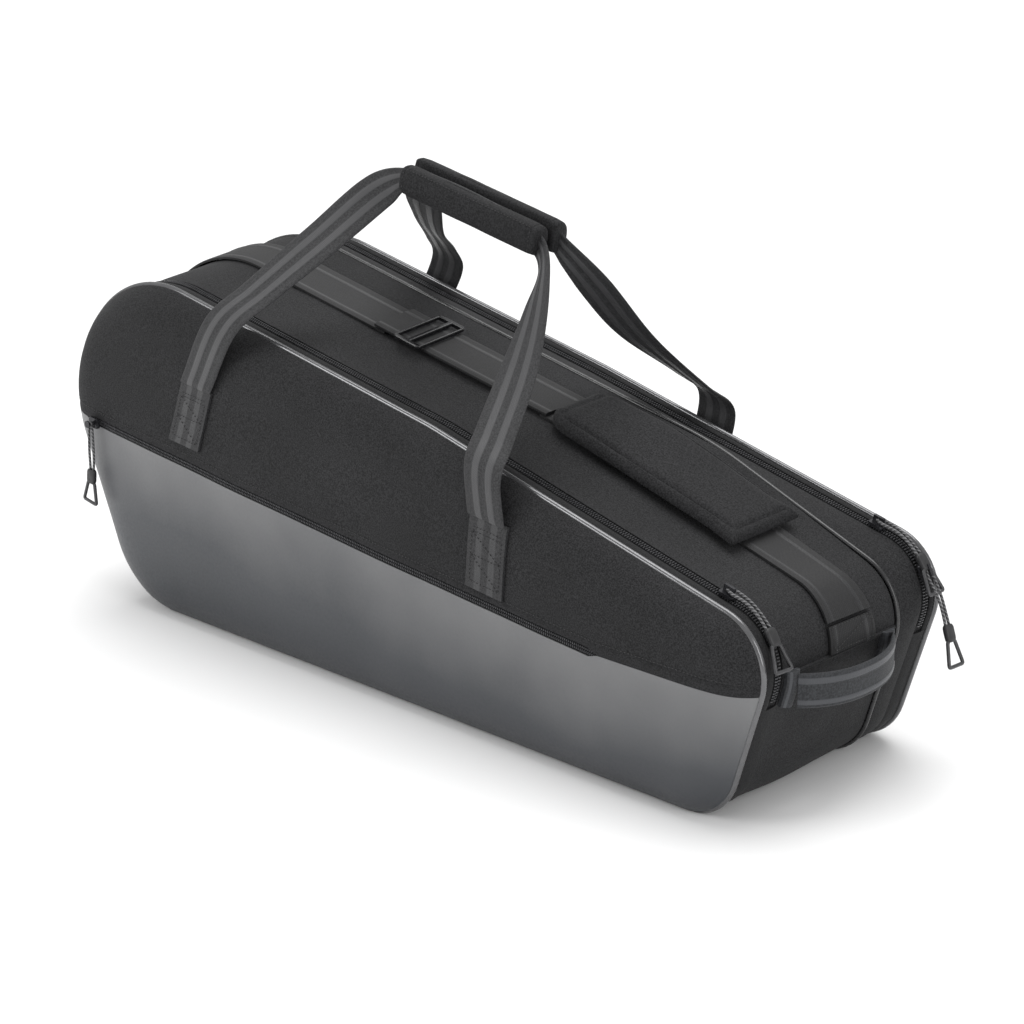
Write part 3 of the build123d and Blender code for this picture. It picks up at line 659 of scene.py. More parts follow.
seam_x = np.linspace(*HEM_ENDS, 300)
stitches("pocket_seam_stitches", [on_front(seam_x, pocket_line(seam_x) + HEM_ABOVE, 0.1 * MM)],
         "front_cover", (0, -1, 0))


# ---------------------------------------------------------------- pipings, strips and gussets
PIPING_STAND = 2.4 * MM                         # how far every piping stands out past the side view
LAP = TOTAL                                     # places round the base count on past this


def piping(name, radius, material, body):
    """A glossy round cord round the whole side view, flattened where the bag stands on it."""
    path = on_outline(PIPINGS[name], np.arange(0, TOTAL, 0.5), PIPING_STAND - radius)
    vertices, faces, uvs = tube(path, radius, 14, True)
    piece = build(name + "_cord", vertices, faces, material, uvs, 60)
    for vertex in piece.data.vertices:
        vertex.co.z = max(vertex.co.z, 0.1 * MM)
    attach(piece, body, name)


piping("front_piping", 2.7 * MM, PIPING, "front_cover")
piping("middle_piping", 1.9 * MM, DARK_PIPING, "bag_shell")
piping("rear_piping", 2.4 * MM, PIPING, "rear_cover")


def band(name, depths, places, material, crown=0.0, wrinkle=0.0, thickness=THICKNESS, lift=0.0, closed=False):
    """A cloth band over the side view, through these depths and places; crown is its middle's bulge."""
    outer = np.stack([on_outline(d, places, lift) for d in depths], 1)
    out = (np.stack([on_outline(d, places, lift + MM) for d in depths], 1) - outer) / MM
    share = np.linspace(-1, 1, len(depths))[None, :]
    rise = np.broadcast_to(crown * (1 - share ** 2), outer.shape[:2])
    if wrinkle:
        flat = outer.reshape(-1, 3)
        uneven = ripple(flat, 0.09, 31.0) + 0.45 * ripple(flat * (1, 0.5, 1), 0.028, 47.0)
        rise = rise + wrinkle * uneven.reshape(rise.shape) * (1 - np.abs(share) ** 3)
    outer = outer + out * rise[..., None]
    inner = outer - out * thickness
    for grid in (outer, inner):
        grid[..., 2] = np.maximum(grid[..., 2], GROUND)
    inner[..., 2] = np.where(outer[..., 2] <= GROUND, GROUND + thickness, inner[..., 2])
    uv = np.stack(np.meshgrid(np.linspace(0, 1, len(depths)), np.linspace(0, 1, len(places))), -1)
    return shell(name, outer, inner, material, uv, closed)


def steps(start, end):
    """Places from start to end, about one outline step apart."""
    return np.linspace(start, end, int(end - start) + 1)


OVER_TOP, ALL_ROUND = steps(ZIP_RIGHT, ZIP_LEFT), np.arange(TOTAL)
GUSSET_DEPTHS = (GUSSET_START, GUSSET_END, 40)
BANDS = (                                       # CAD node, body, depths, places, cloth, crown, wrinkle (mm)
    ("front_strip", "front_cover", (STRIP_START, STRIP_END, 9), OVER_TOP, STRIP_CLOTH, 1.0, 0.0),
    ("rear_strip", "rear_cover", (REAR_STRIP_START, REAR_STRIP_END, 9), OVER_TOP, STRIP_CLOTH, 0.8, 0.0),
    ("top_gusset", "bag_shell", GUSSET_DEPTHS, steps(SEAM_RIGHT, SEAM_LEFT), CLOTH, 0.6, 1.1),
    ("base_gusset", "bag_shell", GUSSET_DEPTHS, steps(SEAM_LEFT, LAP + SEAM_RIGHT), CLOTH, 1.5, 2.0),
    ("rear_gusset", "bag_shell", (REAR_GUSSET_START, REAR_GUSSET_END, 12), ALL_ROUND, CLOTH, 1.2, 0.8),
)
for node, body, depths, places, material, crown, wrinkle in BANDS:
    piece = band(node + "_cloth", np.linspace(*depths), places, material, crown * MM, wrinkle * MM,
                 closed=places is ALL_ROUND)
    attach(piece, body, node)

# Cloth that joins each opening cover to the shell below the ends of its zip
for name, start, end, *bodies in (
    ("front_fold_cloth", STRIP_START, GUSSET_START, "front_cover", "bag_shell"),
    ("rear_fold_cloth", REAR_GUSSET_END, REAR_STRIP_END, "bag_shell", "rear_cover"),
):
    piece = band(name, np.linspace(start, end, 24), steps(ZIP_LEFT, LAP + ZIP_RIGHT), STRIP_CLOTH, 0.8 * MM)
    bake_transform(piece)

# Rolled seam between the top and base gussets, at both ends of the bag
for label, place in (("end", SEAM_RIGHT), ("head", SEAM_LEFT)):
    depths = np.linspace(GUSSET_START + MM, GUSSET_END - MM, 50)
    path = [on_outline(d, place, 0.7 * MM)[0] for d in depths]
    vertices, faces, uvs = tube(path, 1.5 * MM, 10)
    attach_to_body(build(f"gusset_seam_{label}", vertices, faces, CLOTH, uvs, 60), "bag_shell")


def divider():
    """The lined sheet between the two compartments, a little smaller than the side view."""
    depth = sum(corner.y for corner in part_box("divider")) / 2
    grid = whole_panel(depth, 90, 40)
    centre = grid.reshape(-1, 2).mean(0)
    flat = (centre + (grid - centre) * 0.978).reshape(-1, 2)
    places = np.stack([flat[:, 0], np.full(len(flat), depth), flat[:, 1]], 1)
    places[:, 1] += ripple(places, 0.13, 61.0) * 0.8 * MM
    outer = places.reshape(*grid.shape[:2], 3) - (0, MM, 0)
    attach(shell("divider_sheet", outer, outer + (0, 2 * MM, 0), LINING), "bag_shell", "divider")


divider()


# ---------------------------------------------------------------- zips
TOOTH_PITCH, POCKET_TOOTH_PITCH = 2.3 * MM, 1.9 * MM
TOOTH = (1.25 * MM, 2.7 * MM, 1.5 * MM)         # along the zip, across it, height
TAPE_EDGES = (0.3 * MM, 4.8 * MM)               # of each tape, from the middle of the zip
TOOTH_ROW = 1.75 * MM                           # from the middle of the zip to a row's middle


def teeth(name, path, across, out, body):
    """A row of moulded teeth. across and out are vectors at each point of the path, or one for all."""
    across, out = np.broadcast_to(across, path.shape), np.broadcast_to(out, path.shape)
    vertices, faces = [], []
    length, width, height = TOOTH
    for i in range(1, len(path) - 1):
        along = unit(path[i + 1] - path[i - 1])
        first = len(vertices)
        for level, shrink in ((-0.3, 1.0), (0.6, 1.0), (1.0, 0.55)):
            for a, b in ((-1, -1), (1, -1), (1, 1), (-1, 1)):
                vertices.append(path[i] + along * a * length / 2 * shrink
                                + across[i] * b * width / 2 * shrink + out[i] * height * level)
        faces += ring_faces(3, 4, start=first)
    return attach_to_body(build(name, vertices, faces, TEETH, sharp=40), body)


def outline_zip(name, middle, front_body, back_body):
    """A zip over the top of the bag: two tapes and two rows of teeth."""
    for side, half, body in ((-1, "_front_half", front_body), (1, "_back_half", back_body)):
        depths = np.linspace(*sorted(middle + side * edge for edge in TAPE_EDGES), 5)
        tape = band(name + half + "_tape", depths, steps(ZIP_RIGHT, ZIP_LEFT), TAPE, thickness=1.4 * MM,
                    lift=-1.0 * MM)
        attach(tape, body, name + half)
        depth = middle + side * TOOTH_ROW
        places = np.linspace(ZIP_RIGHT + 0.5, ZIP_LEFT - 0.5, 1200)
        low, high = (on_outline(depth, places, lift) for lift in (-0.9 * MM, 0.1 * MM))
        joined = resample(np.concatenate([low, high], 1), TOOTH_PITCH)
        path = joined[:, :3]
        teeth(name + half + "_teeth", path, (0, 1, 0), (joined[:, 3:] - path) / MM, body)


outline_zip("main_zip", MAIN_ZIP, "front_cover", "bag_shell")
outline_zip("rear_zip", REAR_ZIP, "bag_shell", "rear_cover")


def pocket_zip():
    """The pocket's zip, set just below the cloth on the front panel."""
    x = np.linspace(POCKET_HEAD[0] - 2 * MM, POCKET_END[0] + 2 * MM, 260)
    rows = np.linspace(-5.2 * MM, 5.2 * MM, 5)
    outer = np.stack([on_front(x, pocket_line(x) + row, -1.9 * MM) for row in rows], 1)
    attach(shell("pocket_zip_tape", outer, outer + (0, 1.0 * MM, 0), TAPE), "front_cover", "pocket_zip")
    for label, side in (("upper", 1), ("lower", -1)):
        path = resample(on_front(x, pocket_line(x) + side * 1.35 * MM, -1.7 * MM), POCKET_TOOTH_PITCH)
        teeth(f"pocket_zip_teeth_{label}", path, (0, 0, 0.85), (0, -1, 0), "front_cover")


pocket_zip()


# ---------------------------------------------------------------- carry handles
HANDLE_WIDTH = 38 * MM
WEBBING = 2.2 * MM
WEBBING_COLUMNS = 25                            # points across a webbing
GRIP_HEAD, GRIP_TAIL = np.array((-0.057, 0.0, 0.3885)), np.array((0.085, 0.0, 0.3594))
GRIP_RISE = 6.5 * MM                            # the slim wrap sits in the upper part of its CAD block
GRIP_SPREAD = 10                                # mm from the middle plane to the webbing inside the wrap
HANDLE_SIDE = {"front_handle": -1, "rear_handle": 1}
# Each (x, z), head end first: the sewn feet's lower ends, the folds above them, and where the webbing
# leaves the panel
FEET = {"front_handle": ((-0.213, 0.166), (0.139, 0.124)), "rear_handle": ((-0.204, 0.164), (0.152, 0.130))}
FOLDS = {"front_handle": ((-0.192, 0.220), (0.143, 0.182)), "rear_handle": ((-0.182, 0.226), (0.156, 0.190))}
EDGES = {"front_handle": ((-0.150, 0.283), (0.141, 0.222)), "rear_handle": ((-0.142, 0.296), (0.160, 0.230))}


def ribbon(name, stations, thickness, material, body, node, ribs):
    """A webbing through stations of (centre, direction across, width); ribs are raised bands across it."""
    packed = [(*centre, *(unit(np.array(across, float)) * width)) for centre, across, width in stations]
    path = resample(smooth_path(packed, 14), 3 * MM)
    centres, across = path[:, :3], path[:, 3:]
    out = np.cross(np.gradient(centres, axis=0), across)
    out /= np.linalg.norm(out, axis=1)[:, None]
    share = np.linspace(0, 1, WEBBING_COLUMNS)
    rise = sum(0.45 * MM * ((share >= start) & (share <= end)) for start, end in ribs)
    rise = rise - 0.35 * thickness * (np.abs(share - 0.5) > 0.48)
    length = lengths(centres)
    from_end = np.minimum(length, length[-1] - length)
    taper = np.clip(0.2 + from_end / (7 * MM), 0, 1)
    half = ((thickness / 2 + rise)[None, :] * taper[:, None])[..., None]
    flat = centres[:, None] + across[:, None] * (share - 0.5)[None, :, None]
    uv = np.stack(np.broadcast_arrays(share[None, :], length[:, None]), -1)
    attach(shell(name, flat + out[:, None] * half, flat - out[:, None] * half, material, uv), body, node)


def handle_loop(name):
    """The webbing of one handle, from its sewn patches up into the wrap."""
    side = HANDLE_SIDE[name]
    face = FRONT_FACE if side < 0 else REAR_FACE
    def on_panel(place, lift):
        return np.array((place[0], face + side * lift * MM, place[1]))
    def beside(grip, x, outwards, z):
        """A point this many mm from one end of the wrap."""
        return grip + np.array((x, side * outwards, z + GRIP_RISE / MM)) * MM
    head_fold, tail_fold = (on_panel(place, 3.0) for place in FOLDS[name])
    head_edge, tail_edge = (on_panel(place, 3.9) for place in EDGES[name])
    down = (GRIP_TAIL[2] - GRIP_HEAD[2], 0, GRIP_HEAD[0] - GRIP_TAIL[0])
    tail_free = beside(GRIP_TAIL, 36, 66, -82)
    if side < 0:
        leaving = (beside(GRIP_HEAD, -20, 16.5, -9), (0.6, 0, -0.8), 30 * MM)
        inside = (beside(GRIP_HEAD, 4, GRIP_SPREAD, 0), down, 18 * MM)
        head_free = beside(GRIP_HEAD, -50, 60, -50)
        bow = np.zeros(3)
    else:
        leaving = (beside(GRIP_HEAD, -16, 24, -18), (0.93, 0.1, -0.35), 36 * MM)
        inside = (beside(GRIP_HEAD, 8, GRIP_SPREAD, 0), down, 17 * MM)
        head_free = (head_edge + leaving[0]) / 2 + np.array((-9, 0, 2)) * MM
        bow = np.array((-3, 3, 3)) * MM         # the webbing rises off the panel before it leans in
    stations = [
        (head_fold, tail_fold - head_fold, HANDLE_WIDTH),
        (head_edge, tail_edge - head_edge, HANDLE_WIDTH),
        (head_edge + (head_free - head_edge) * 0.35 + bow, tail_edge - head_edge, HANDLE_WIDTH),
        (head_free, (0.90, 0.1 * side, -0.42), HANDLE_WIDTH),
        leaving,
        inside,
        (beside(GRIP_TAIL, -4, GRIP_SPREAD, 0), down, 18 * MM),
        (beside(GRIP_TAIL, 9, 12.5, -12), (-0.35, 0, -0.94), 22 * MM),
        (beside(GRIP_TAIL, 22, 33, -40), (-0.82, 0, -0.57), 31 * MM),
        (tail_free, (-0.97, 0, -0.1), HANDLE_WIDTH),
        (tail_edge + (tail_free - tail_edge) * 0.3, head_edge - tail_edge, HANDLE_WIDTH),
        (tail_edge, head_edge - tail_edge, HANDLE_WIDTH),
        (tail_fold, head_fold - tail_fold, HANDLE_WIDTH),
    ]
    ribbon(name + "_loop", stations, WEBBING, HANDLE_WEBBING, name, name + "_webbing", RIBS)


# The seam round a foot and its cross, as (share of its length, share of its width) pairs
FOOT_SEAMS = (
    ((0.10, -0.40), (0.10, 0.40)), ((0.10, 0.40), (0.78, 0.40)), ((0.78, 0.40), (0.78, -0.40)),
    ((0.78, -0.40), (0.10, -0.40)), ((0.78, -0.40), (0.46, 0.40)), ((0.10, 0.40), (0.46, -0.40)),
    ((0.46, -0.40), (0.46, 0.40)), ((0.84, -0.40), (0.84, 0.40)),
)


def handle_foot(name, label, foot, fold, across):
    """One sewn foot of a handle, with boxed and crossed stitching; across is its direction in (x, z)."""
    side = HANDLE_SIDE[name]
    foot, fold = np.array(foot), np.array(fold)
    def on_foot(length, width, lift):
        """Points at these shares of the foot's length and width, lifted off the panel."""
        middle = foot + (fold - foot) * length[..., None]
        flat = middle + across * width[..., None] * HANDLE_WIDTH
        depth = panel_depth(flat.reshape(-1, 2), side).reshape(flat.shape[:-1]) + side * lift
        return np.stack([flat[..., 0], depth, flat[..., 1]], -1)
    width, length = np.meshgrid(np.linspace(-0.5, 0.5, WEBBING_COLUMNS), np.linspace(0, 1, 36))
    inner = on_foot(length, width, 0.3 * MM)
    uv = np.stack([width + 0.5, length * 0.06], -1)
    patch = shell(f"{name}_foot_{label}", inner + (0, side * WEBBING, 0), inner, PATCH_WEBBING, uv)
    cover = "front_cover" if side < 0 else "rear_cover"
    attach(patch, cover, f"{name}_patch_{label}")
    seams = [on_foot(*np.linspace(start, end, 20).T, WEBBING + 0.45 * MM) for start, end in FOOT_SEAMS]
    stitches(f"{name}_foot_{label}_stitches", seams, cover, (0, side, 0))


for handle in HANDLE_SIDE:
    handle_loop(handle)
    across = unit(np.subtract(FOLDS[handle][1], FOLDS[handle][0]))
    for label, foot, fold in zip(("head", "end"), FEET[handle], FOLDS[handle]):
        handle_foot(handle, label, foot, fold, across)


WRAP_HALF_WIDTH, WRAP_HALF_HEIGHT = 8.8 * MM, 12.2 * MM
WRAP_OUT = 9.6 * MM                             # from the middle plane to a half's own middle
WRAP_HEM = 5.2 * MM                             # from its ends to their seams
WRAP_END_RINGS = np.array((0, 0.8, 2.2, 4.5, 5.2, 6.0)) * MM


def wrap_half(handle, overhang, lift, curl):
    """Half of the padded handle wrap; lift raises its top edge, and curl leans that edge over the slit."""
    side = HANDLE_SIDE[handle]
    name = handle + "_wrap_half"
    along = unit(GRIP_TAIL - GRIP_HEAD)
    across = np.array((0.0, float(side), 0.0))
    up = np.cross(along, (0, 1, 0))
    start = GRIP_HEAD - along * overhang[0] + up * GRIP_RISE
    length = np.linalg.norm(GRIP_TAIL + along * overhang[1] + up * GRIP_RISE - start)
    rings = np.concatenate([WRAP_END_RINGS, np.linspace(9 * MM, length - 9 * MM, 46),
                            length - WRAP_END_RINGS[::-1]])
    sides = 44
    vertices = []
    for distance in rings:
        edge = min(distance, length - distance)
        groove = 0.05 * math.exp(-((edge - WRAP_HEM) / (0.7 * MM)) ** 2)
        full = 1 - 0.20 * math.exp(-edge / (1.6 * MM)) - groove
        for angle in 2 * math.pi * np.arange(sides) / sides:
            wide, tall = rounded_square(angle, 0.72)
            rise = max(0.0, math.sin(angle))
            spot = Vector((distance / 0.025, math.cos(angle) * 1.4 + side, math.sin(angle) * 1.4))
            uneven = 0.5 * MM * noise.noise(spot)
            outwards = WRAP_OUT + WRAP_HALF_WIDTH * wide * full + uneven - curl * rise ** 4
            upwards = WRAP_HALF_HEIGHT * tall * full + lift * rise
            vertices.append(start + along * distance + across * outwards + up * upwards)
    piece = build(name + "_padding", vertices, ring_faces(len(rings), sides), PADDED, sharp=50)
    attach(piece, handle, name)
    def on_wrap(distance, outwards, upwards):
        return start + along * distance + across * outwards * MM + up * upwards * MM
    seams = [np.array([on_wrap(d, 18.4, -9), on_wrap(d, 18.4, 9)]) for d in (WRAP_HEM, length - WRAP_HEM)]
    seams.append(np.array([on_wrap(d, 16.2, 10.6) for d in (6 * MM, length - 6 * MM)]))
    stitches(name + "_stitches", seams, handle, across)


wrap_half("front_handle", (3 * MM, 3 * MM), 0.0, 0.0)
wrap_half("rear_handle", (7 * MM, 5 * MM), 2.5 * MM, 3 * MM)


# ---------------------------------------------------------------- shoulder strap
STRAP_WIDTH, NECK_WIDTH, FLARE_WIDTH = 42 * MM, 50 * MM, 54 * MM
SEWN_GAP = 2.6 * MM                             # between a sewn end and the webbing that swings from it
STRAP_LIFT, MIDDLE_LIFT, SEWN_LIFT = 1.6 * MM, 4.4 * MM, 1.3 * MM
_rulers = {}                                    # rulers already worked out, by depth


def ruler(depth):
    """Outline places at one depth against the length from the handle end's corner, measured over the top."""
    key = round(depth, 4)
    if key not in _rulers:
        places = np.arange(0, TOTAL, 0.25)
        length = lengths(on_outline(depth, places))
        _rulers[key] = places, length - np.interp(MIDDLE_OF[1], places, length)
    return _rulers[key]


def reach_at_height(z, side):
    """The length over the bag at a height on the handle end (side 1) or the head end (side -1)."""
    return float(np.interp(place_at_height(z, side), *ruler(0.0)))


def reach_at_x(x):
    """The length over the bag where the top edge is at this x."""
    return float(np.interp(place_at_x(x), *ruler(0.0)))


def over_bag(depth, reach, lift):
    """A point over the gusset at a length from the handle end's corner."""
    places, length = ruler(depth)
    return on_outline(depth, np.interp(reach, length, places), lift)[0]


def strap(name, node, start, end, widths, lift, body):
    """A webbing lying over the gusset between two lengths; its width may change along it."""
    rows = max(8, int(abs(end - start) / (4 * MM)))
    reaches = np.linspace(start, end, rows)
    widths = np.interp(np.linspace(0, 1, rows), np.linspace(0, 1, len(widths)), widths)
    share = np.linspace(0, 1, WEBBING_COLUMNS)
    outer, inner = np.zeros((2, rows, WEBBING_COLUMNS, 3))
    for i, reach in enumerate(reaches):
        for k, s in enumerate(share):
            depth = (s - 0.5) * widths[i]
            rib = 0.5 * MM * math.exp(-((s - 0.80) / 0.035) ** 2)
            edge = 0.5 * MM * (s in (0, 1))
            wave = 0.25 * MM * max(0, noise.noise(Vector((reach / 0.045, s * 1.6, lift / MM))))
            inner[i, k] = over_bag(depth, reach, lift + wave)
            outer[i, k] = over_bag(depth, reach, lift + wave + WEBBING + rib - edge)
    uv = np.stack(np.broadcast_arrays(share[None, :], np.abs(reaches - start)[:, None]), -1)
    attach(shell(name, outer, inner, STRAP_WEBBING, uv), body, node)


END_SEWN, HEAD_SEWN = reach_at_height(0.135, 1), reach_at_height(0.205, -1)
# Where the three links meet, with a gap at each
END_STOP, MIDDLE_START, MIDDLE_STOP, HEAD_START = (reach_at_x(x) for x in (0.100, 0.106, -0.086, -0.074))
strap("strap_end_stretch", "strap_end_webbing", END_SEWN, END_STOP,
      [NECK_WIDTH] + [STRAP_WIDTH] * 9, STRAP_LIFT, "strap_end")
strap("strap_middle_stretch", "strap_middle_webbing", MIDDLE_START, MIDDLE_STOP,
      [STRAP_WIDTH], MIDDLE_LIFT, "strap_middle")
strap("strap_head_stretch", "strap_head_webbing", HEAD_START, HEAD_SEWN,
      [STRAP_WIDTH], STRAP_LIFT, "strap_head")
strap("strap_end_sewn", "strap_end_anchor", reach_at_height(0.1145, 1), END_SEWN - SEWN_GAP,
      [FLARE_WIDTH, NECK_WIDTH], SEWN_LIFT, "bag_shell")
strap("strap_head_sewn", "strap_head_anchor", HEAD_SEWN + SEWN_GAP, reach_at_height(0.181, -1),
      [STRAP_WIDTH], SEWN_LIFT, "bag_shell")
for label, side, low, high, width in (("end", 1, 0.117, 0.132, 46 * MM), ("head", -1, 0.184, 0.202, 36 * MM)):
    reaches = [reach_at_height(z, side) for z in (low, high)]
    box = [over_bag(share * width, reaches[k], 4.2 * MM)
           for k, share in ((0, -0.5), (0, 0.5), (1, 0.5), (1, -0.5))]
    lines = [np.array([box[i], box[(i + 1) % 4]]) for i in range(4)] + [np.array([box[0], box[2]])]
    stitches(f"strap_{label}_sewn_stitches", lines, "bag_shell", (side, 0, 0.1))


PAD_SQUARE_END, PAD_ROUND_END = 0.302, 0.112    # x
PAD_WIDTH, PAD_FLARE, PAD_END_LENGTH = 66 * MM, 6 * MM, 24 * MM
PAD_LIFT, PAD_RIM, PAD_PUFF = 7.2 * MM, 3.0 * MM, 8.0 * MM


def shoulder_pad():
    """The padded sleeve on the strap: rounded at one end, square and flared at the other, edge-stitched."""
    rows, columns = 100, 45
    reaches = np.linspace(reach_at_x(PAD_SQUARE_END), reach_at_x(PAD_ROUND_END), rows)
    outer, inner = np.zeros((2, rows, columns, 3))
    for i, reach in enumerate(reaches):
        from_square, from_round = abs(reach - reaches[0]), abs(reaches[-1] - reach)
        rounding = max(0.0, 1 - from_round / PAD_END_LENGTH)
        flare = PAD_FLARE * max(0, 1 - from_square / PAD_END_LENGTH)
        width = PAD_WIDTH * (0.40 + 0.60 * math.sqrt(1 - rounding ** 2)) + flare
        for k, s in enumerate(np.linspace(-1, 1, columns)):
            rim = min((1 - abs(s)) * width / 2, from_square, from_round)
            puff = 1 - math.exp(-rim / (5 * MM))
            seam = 1.4 * MM * math.exp(-((min(rim, from_round * 0.45) - 6.0 * MM) / (0.9 * MM)) ** 2)
            uneven = 0.6 * MM * noise.noise(Vector((from_square / 0.03, s * 2, 5.0)))
            top = PAD_RIM + (PAD_PUFF + uneven) * puff - seam
            inner[i, k] = over_bag(s * width / 2, reach, PAD_LIFT)
            outer[i, k] = over_bag(s * width / 2, reach, PAD_LIFT + top)
    attach(shell("shoulder_pad_cushion", outer, inner, PADDED, sharp=50), "shoulder_pad", "shoulder_pad")


shoulder_pad()


# ---------------------------------------------------------------- end grab handle
def grab_handle():
    """The bowed webbing at the handle end, between its two sewn ends."""
    low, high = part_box("grab_webbing")
    middle_z = (low.z + high.z) / 2
    x_end, x_bow = low.x - 2 * MM, high.x - 1.5 * MM
    ys = np.linspace(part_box("grab_patch_front")[1].y - 7 * MM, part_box("grab_patch_rear")[0].y + 7 * MM, 11)
    stations = [((x_bow - (x_bow - x_end) * abs(s) ** 2.4, y, middle_z - 2 * MM * (1 - s ** 2)),
                 (0, 0, 1), high.z - low.z) for y, s in zip(ys, np.linspace(-1, 1, len(ys)))]
    ribbon("grab_handle_band", stations, WEBBING + 0.6 * MM, GRAB_WEBBING, "grab_handle", "grab_webbing",
           GRAB_RIBS)


def grab_patch(name):
    """The cloth pocket that one end of the grab handle is sewn into."""
    low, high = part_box(name)
    count = 12
    depths = np.linspace(low.y, high.y, count)
    reaches = np.linspace(reach_at_height(low.z, 1), reach_at_height(high.z, 1), count)
    crown = 2.4 * MM + 4.5 * MM * np.sin(np.linspace(0.2, math.pi - 0.2, count))
    outer = np.array([[over_bag(d, r, c) for d, c in zip(depths, crown)] for r in reaches])
    inner = np.array([[over_bag(d, r, 0.6 * MM) for d in depths] for r in reaches])
    uv = np.stack(np.meshgrid(np.linspace(0, 1, count), np.linspace(0, 0.026, count)), -1)
    attach(shell(name + "_cloth", outer, inner, GRAB_WEBBING, uv), "bag_shell", name)


grab_handle()
grab_patch("grab_patch_front")
grab_patch("grab_patch_rear")


# ---------------------------------------------------------------- zip pulls
CORD_RUN, SLEEVE_RUN, RING_RUN = 42 * MM, 13 * MM, 19 * MM
CORD_SPREAD, CORD_RADIUS = 2.9 * MM, 1.15 * MM
SLEEVE_HALF_WIDTH, SLEEVE_HALF_THICKNESS = 4.9 * MM, 2.5 * MM
RING_RADIUS, RING_CORNER = 1.5 * MM, 2.2 * MM
RING_NARROW, RING_WIDE = 4.2 * MM, 8.8 * MM     # half widths at the sleeve and at the far end


def along_path(path, across):
    """A function from a distance along a path to the centre, its direction and two directions across it."""
    path = resample(smooth_path(path, 16), 1 * MM)
    along = lengths(path)
    across = unit(np.asarray(across, float))
    def at(distance):
        return np.array([np.interp(distance, along, path[:, k]) for k in range(3)])
    def frame_at(distance):
        tangent = unit(at(distance + MM) - at(distance - MM))
        side = unit(across - tangent * (across @ tangent))
        return at(distance), tangent, side, np.cross(tangent, side)
    return frame_at


def pull_cords(name, frame_at):
    """One cord doubled over the slider's eye, its two strands winding a little round each other."""
    strands = []
    for sign in (-1, 1):
        points = []
        for distance in np.linspace(0, CORD_RUN + 2 * MM, 46):
            centre, _, side, out = frame_at(distance)
            spread = CORD_SPREAD * min(1.0, 0.35 + distance / (9 * MM)) * (1 - 0.25 * distance / CORD_RUN)
            twist = 0.5 * MM * math.sin(distance / (9 * MM) + sign)
            points.append(centre + side * sign * spread + out * twist)
        strands.append(np.array(points))
    first, last = strands[0][0], strands[1][0]
    back = frame_at(0)[1] * 1.4 * MM
    turn = [first + (last - first) * t - back * math.sin(math.pi * t) for t in np.linspace(0, 1, 9)[1:-1]]
    whole = np.concatenate([strands[0][::-1], turn, strands[1]])
    vertices, faces, uvs = tube(whole, CORD_RADIUS, 10)
    return build(name + "_cords", vertices, faces, CORD, uvs, 60)


def pull_sleeve(name, frame_at):
    """The moulded sleeve that grips both strands."""
    rings, sides = 12, 20
    vertices = []
    for share in np.linspace(0, 1, rings):
        centre, _, side, out = frame_at(CORD_RUN + share * SLEEVE_RUN)
        swell = 1 - 0.28 * abs(2 * share - 1) ** 6
        for k in range(sides):
            wide, tall = rounded_square(2 * math.pi * k / sides, 0.5)
            vertices.append(centre + side * SLEEVE_HALF_WIDTH * swell * wide
                            + out * SLEEVE_HALF_THICKNESS * swell * tall)
    return build(name + "_grip", vertices, ring_faces(rings, sides), SLEEVE, sharp=45)


def pull_ring(name, frame_at):
    """The finger ring: a round wire bent to a trapezium with rounded corners."""
    start = CORD_RUN + SLEEVE_RUN - 1 * MM
    centre, tangent, side, _ = frame_at(start)
    corners = np.array([(0, RING_NARROW), (RING_RUN, RING_WIDE), (RING_RUN, -RING_WIDE), (0, -RING_NARROW)])
    loop = []
    for before, here, after in zip(np.roll(corners, 1, 0), corners, np.roll(corners, -1, 0)):
        first, last = (here + unit(other - here) * RING_CORNER for other in (before, after))
        for t in np.linspace(0, 1, 5):
            distance, width = (1 - t) ** 2 * first + 2 * t * (1 - t) * here + t ** 2 * last
            loop.append(centre + tangent * distance + side * width)
    vertices, faces, uvs = tube(loop, RING_RADIUS, 8, True)
    return build(name + "_finger_ring", vertices, faces, RING, uvs, 50)


def joint(name):
    return next(j for j in frame["joints"] if j["name"] == name)


def pull(name, path, across, flattens=False):
    """A cord pull along a path from its slider's eye; with flattens, each of its pieces gets its own copy of
    its mesh.
    """
    frame_at = along_path(path, across)
    for piece, node in ((pull_cords(name, frame_at), "_cord"), (pull_sleeve(name, frame_at), "_sleeve"),
                        (pull_ring(name, frame_at), "_ring")):
        attach(piece, name.replace("_pull", "_zip_pull"), name + node)
        if flattens:
            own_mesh(piece)


def lying_pull(name, depth, x, lifts, drift):
    """A pull that follows the side view downwards from x, this many mm off the cloth at each step."""
    path = [np.array(joint(name + "_swing")["pos_m"])]
    for i, lift in enumerate(lifts, 1):
        point = on_outline(depth, place_at_x(x, depth) - i * 3.2, lift * MM)[0]
        point[1] += drift * MM * i / len(lifts)
        path.append(point)
    pull(name, path, (0, 1, 0), flattens=True)


def hanging_pull(name, offsets, across):
    """A pull that hangs free from its slider's eye through these offsets in mm."""
    eye = np.array(joint(name + "_swing")["pos_m"])
    pull(name, [eye] + [eye + np.array(offset) * MM for offset in offsets], across)


lying_pull("main_pull", MAIN_ZIP, 0.338, (6, 5, 4.5, 4.5, 5, 6, 8), -6)
lying_pull("rear_top_pull", REAR_ZIP, 0.342, (6.5, 6.5, 7, 8, 11, 15, 20), -2)
hanging_pull("rear_end_pull", ((13, 0, -21), (23, -1, -45), (32, -2, -72)), (0, 1, 0))
hanging_pull("pocket_pull", ((-1, 0, -25), (-3, 0, -50), (-9, 0, -80)), (1, 0, 0))


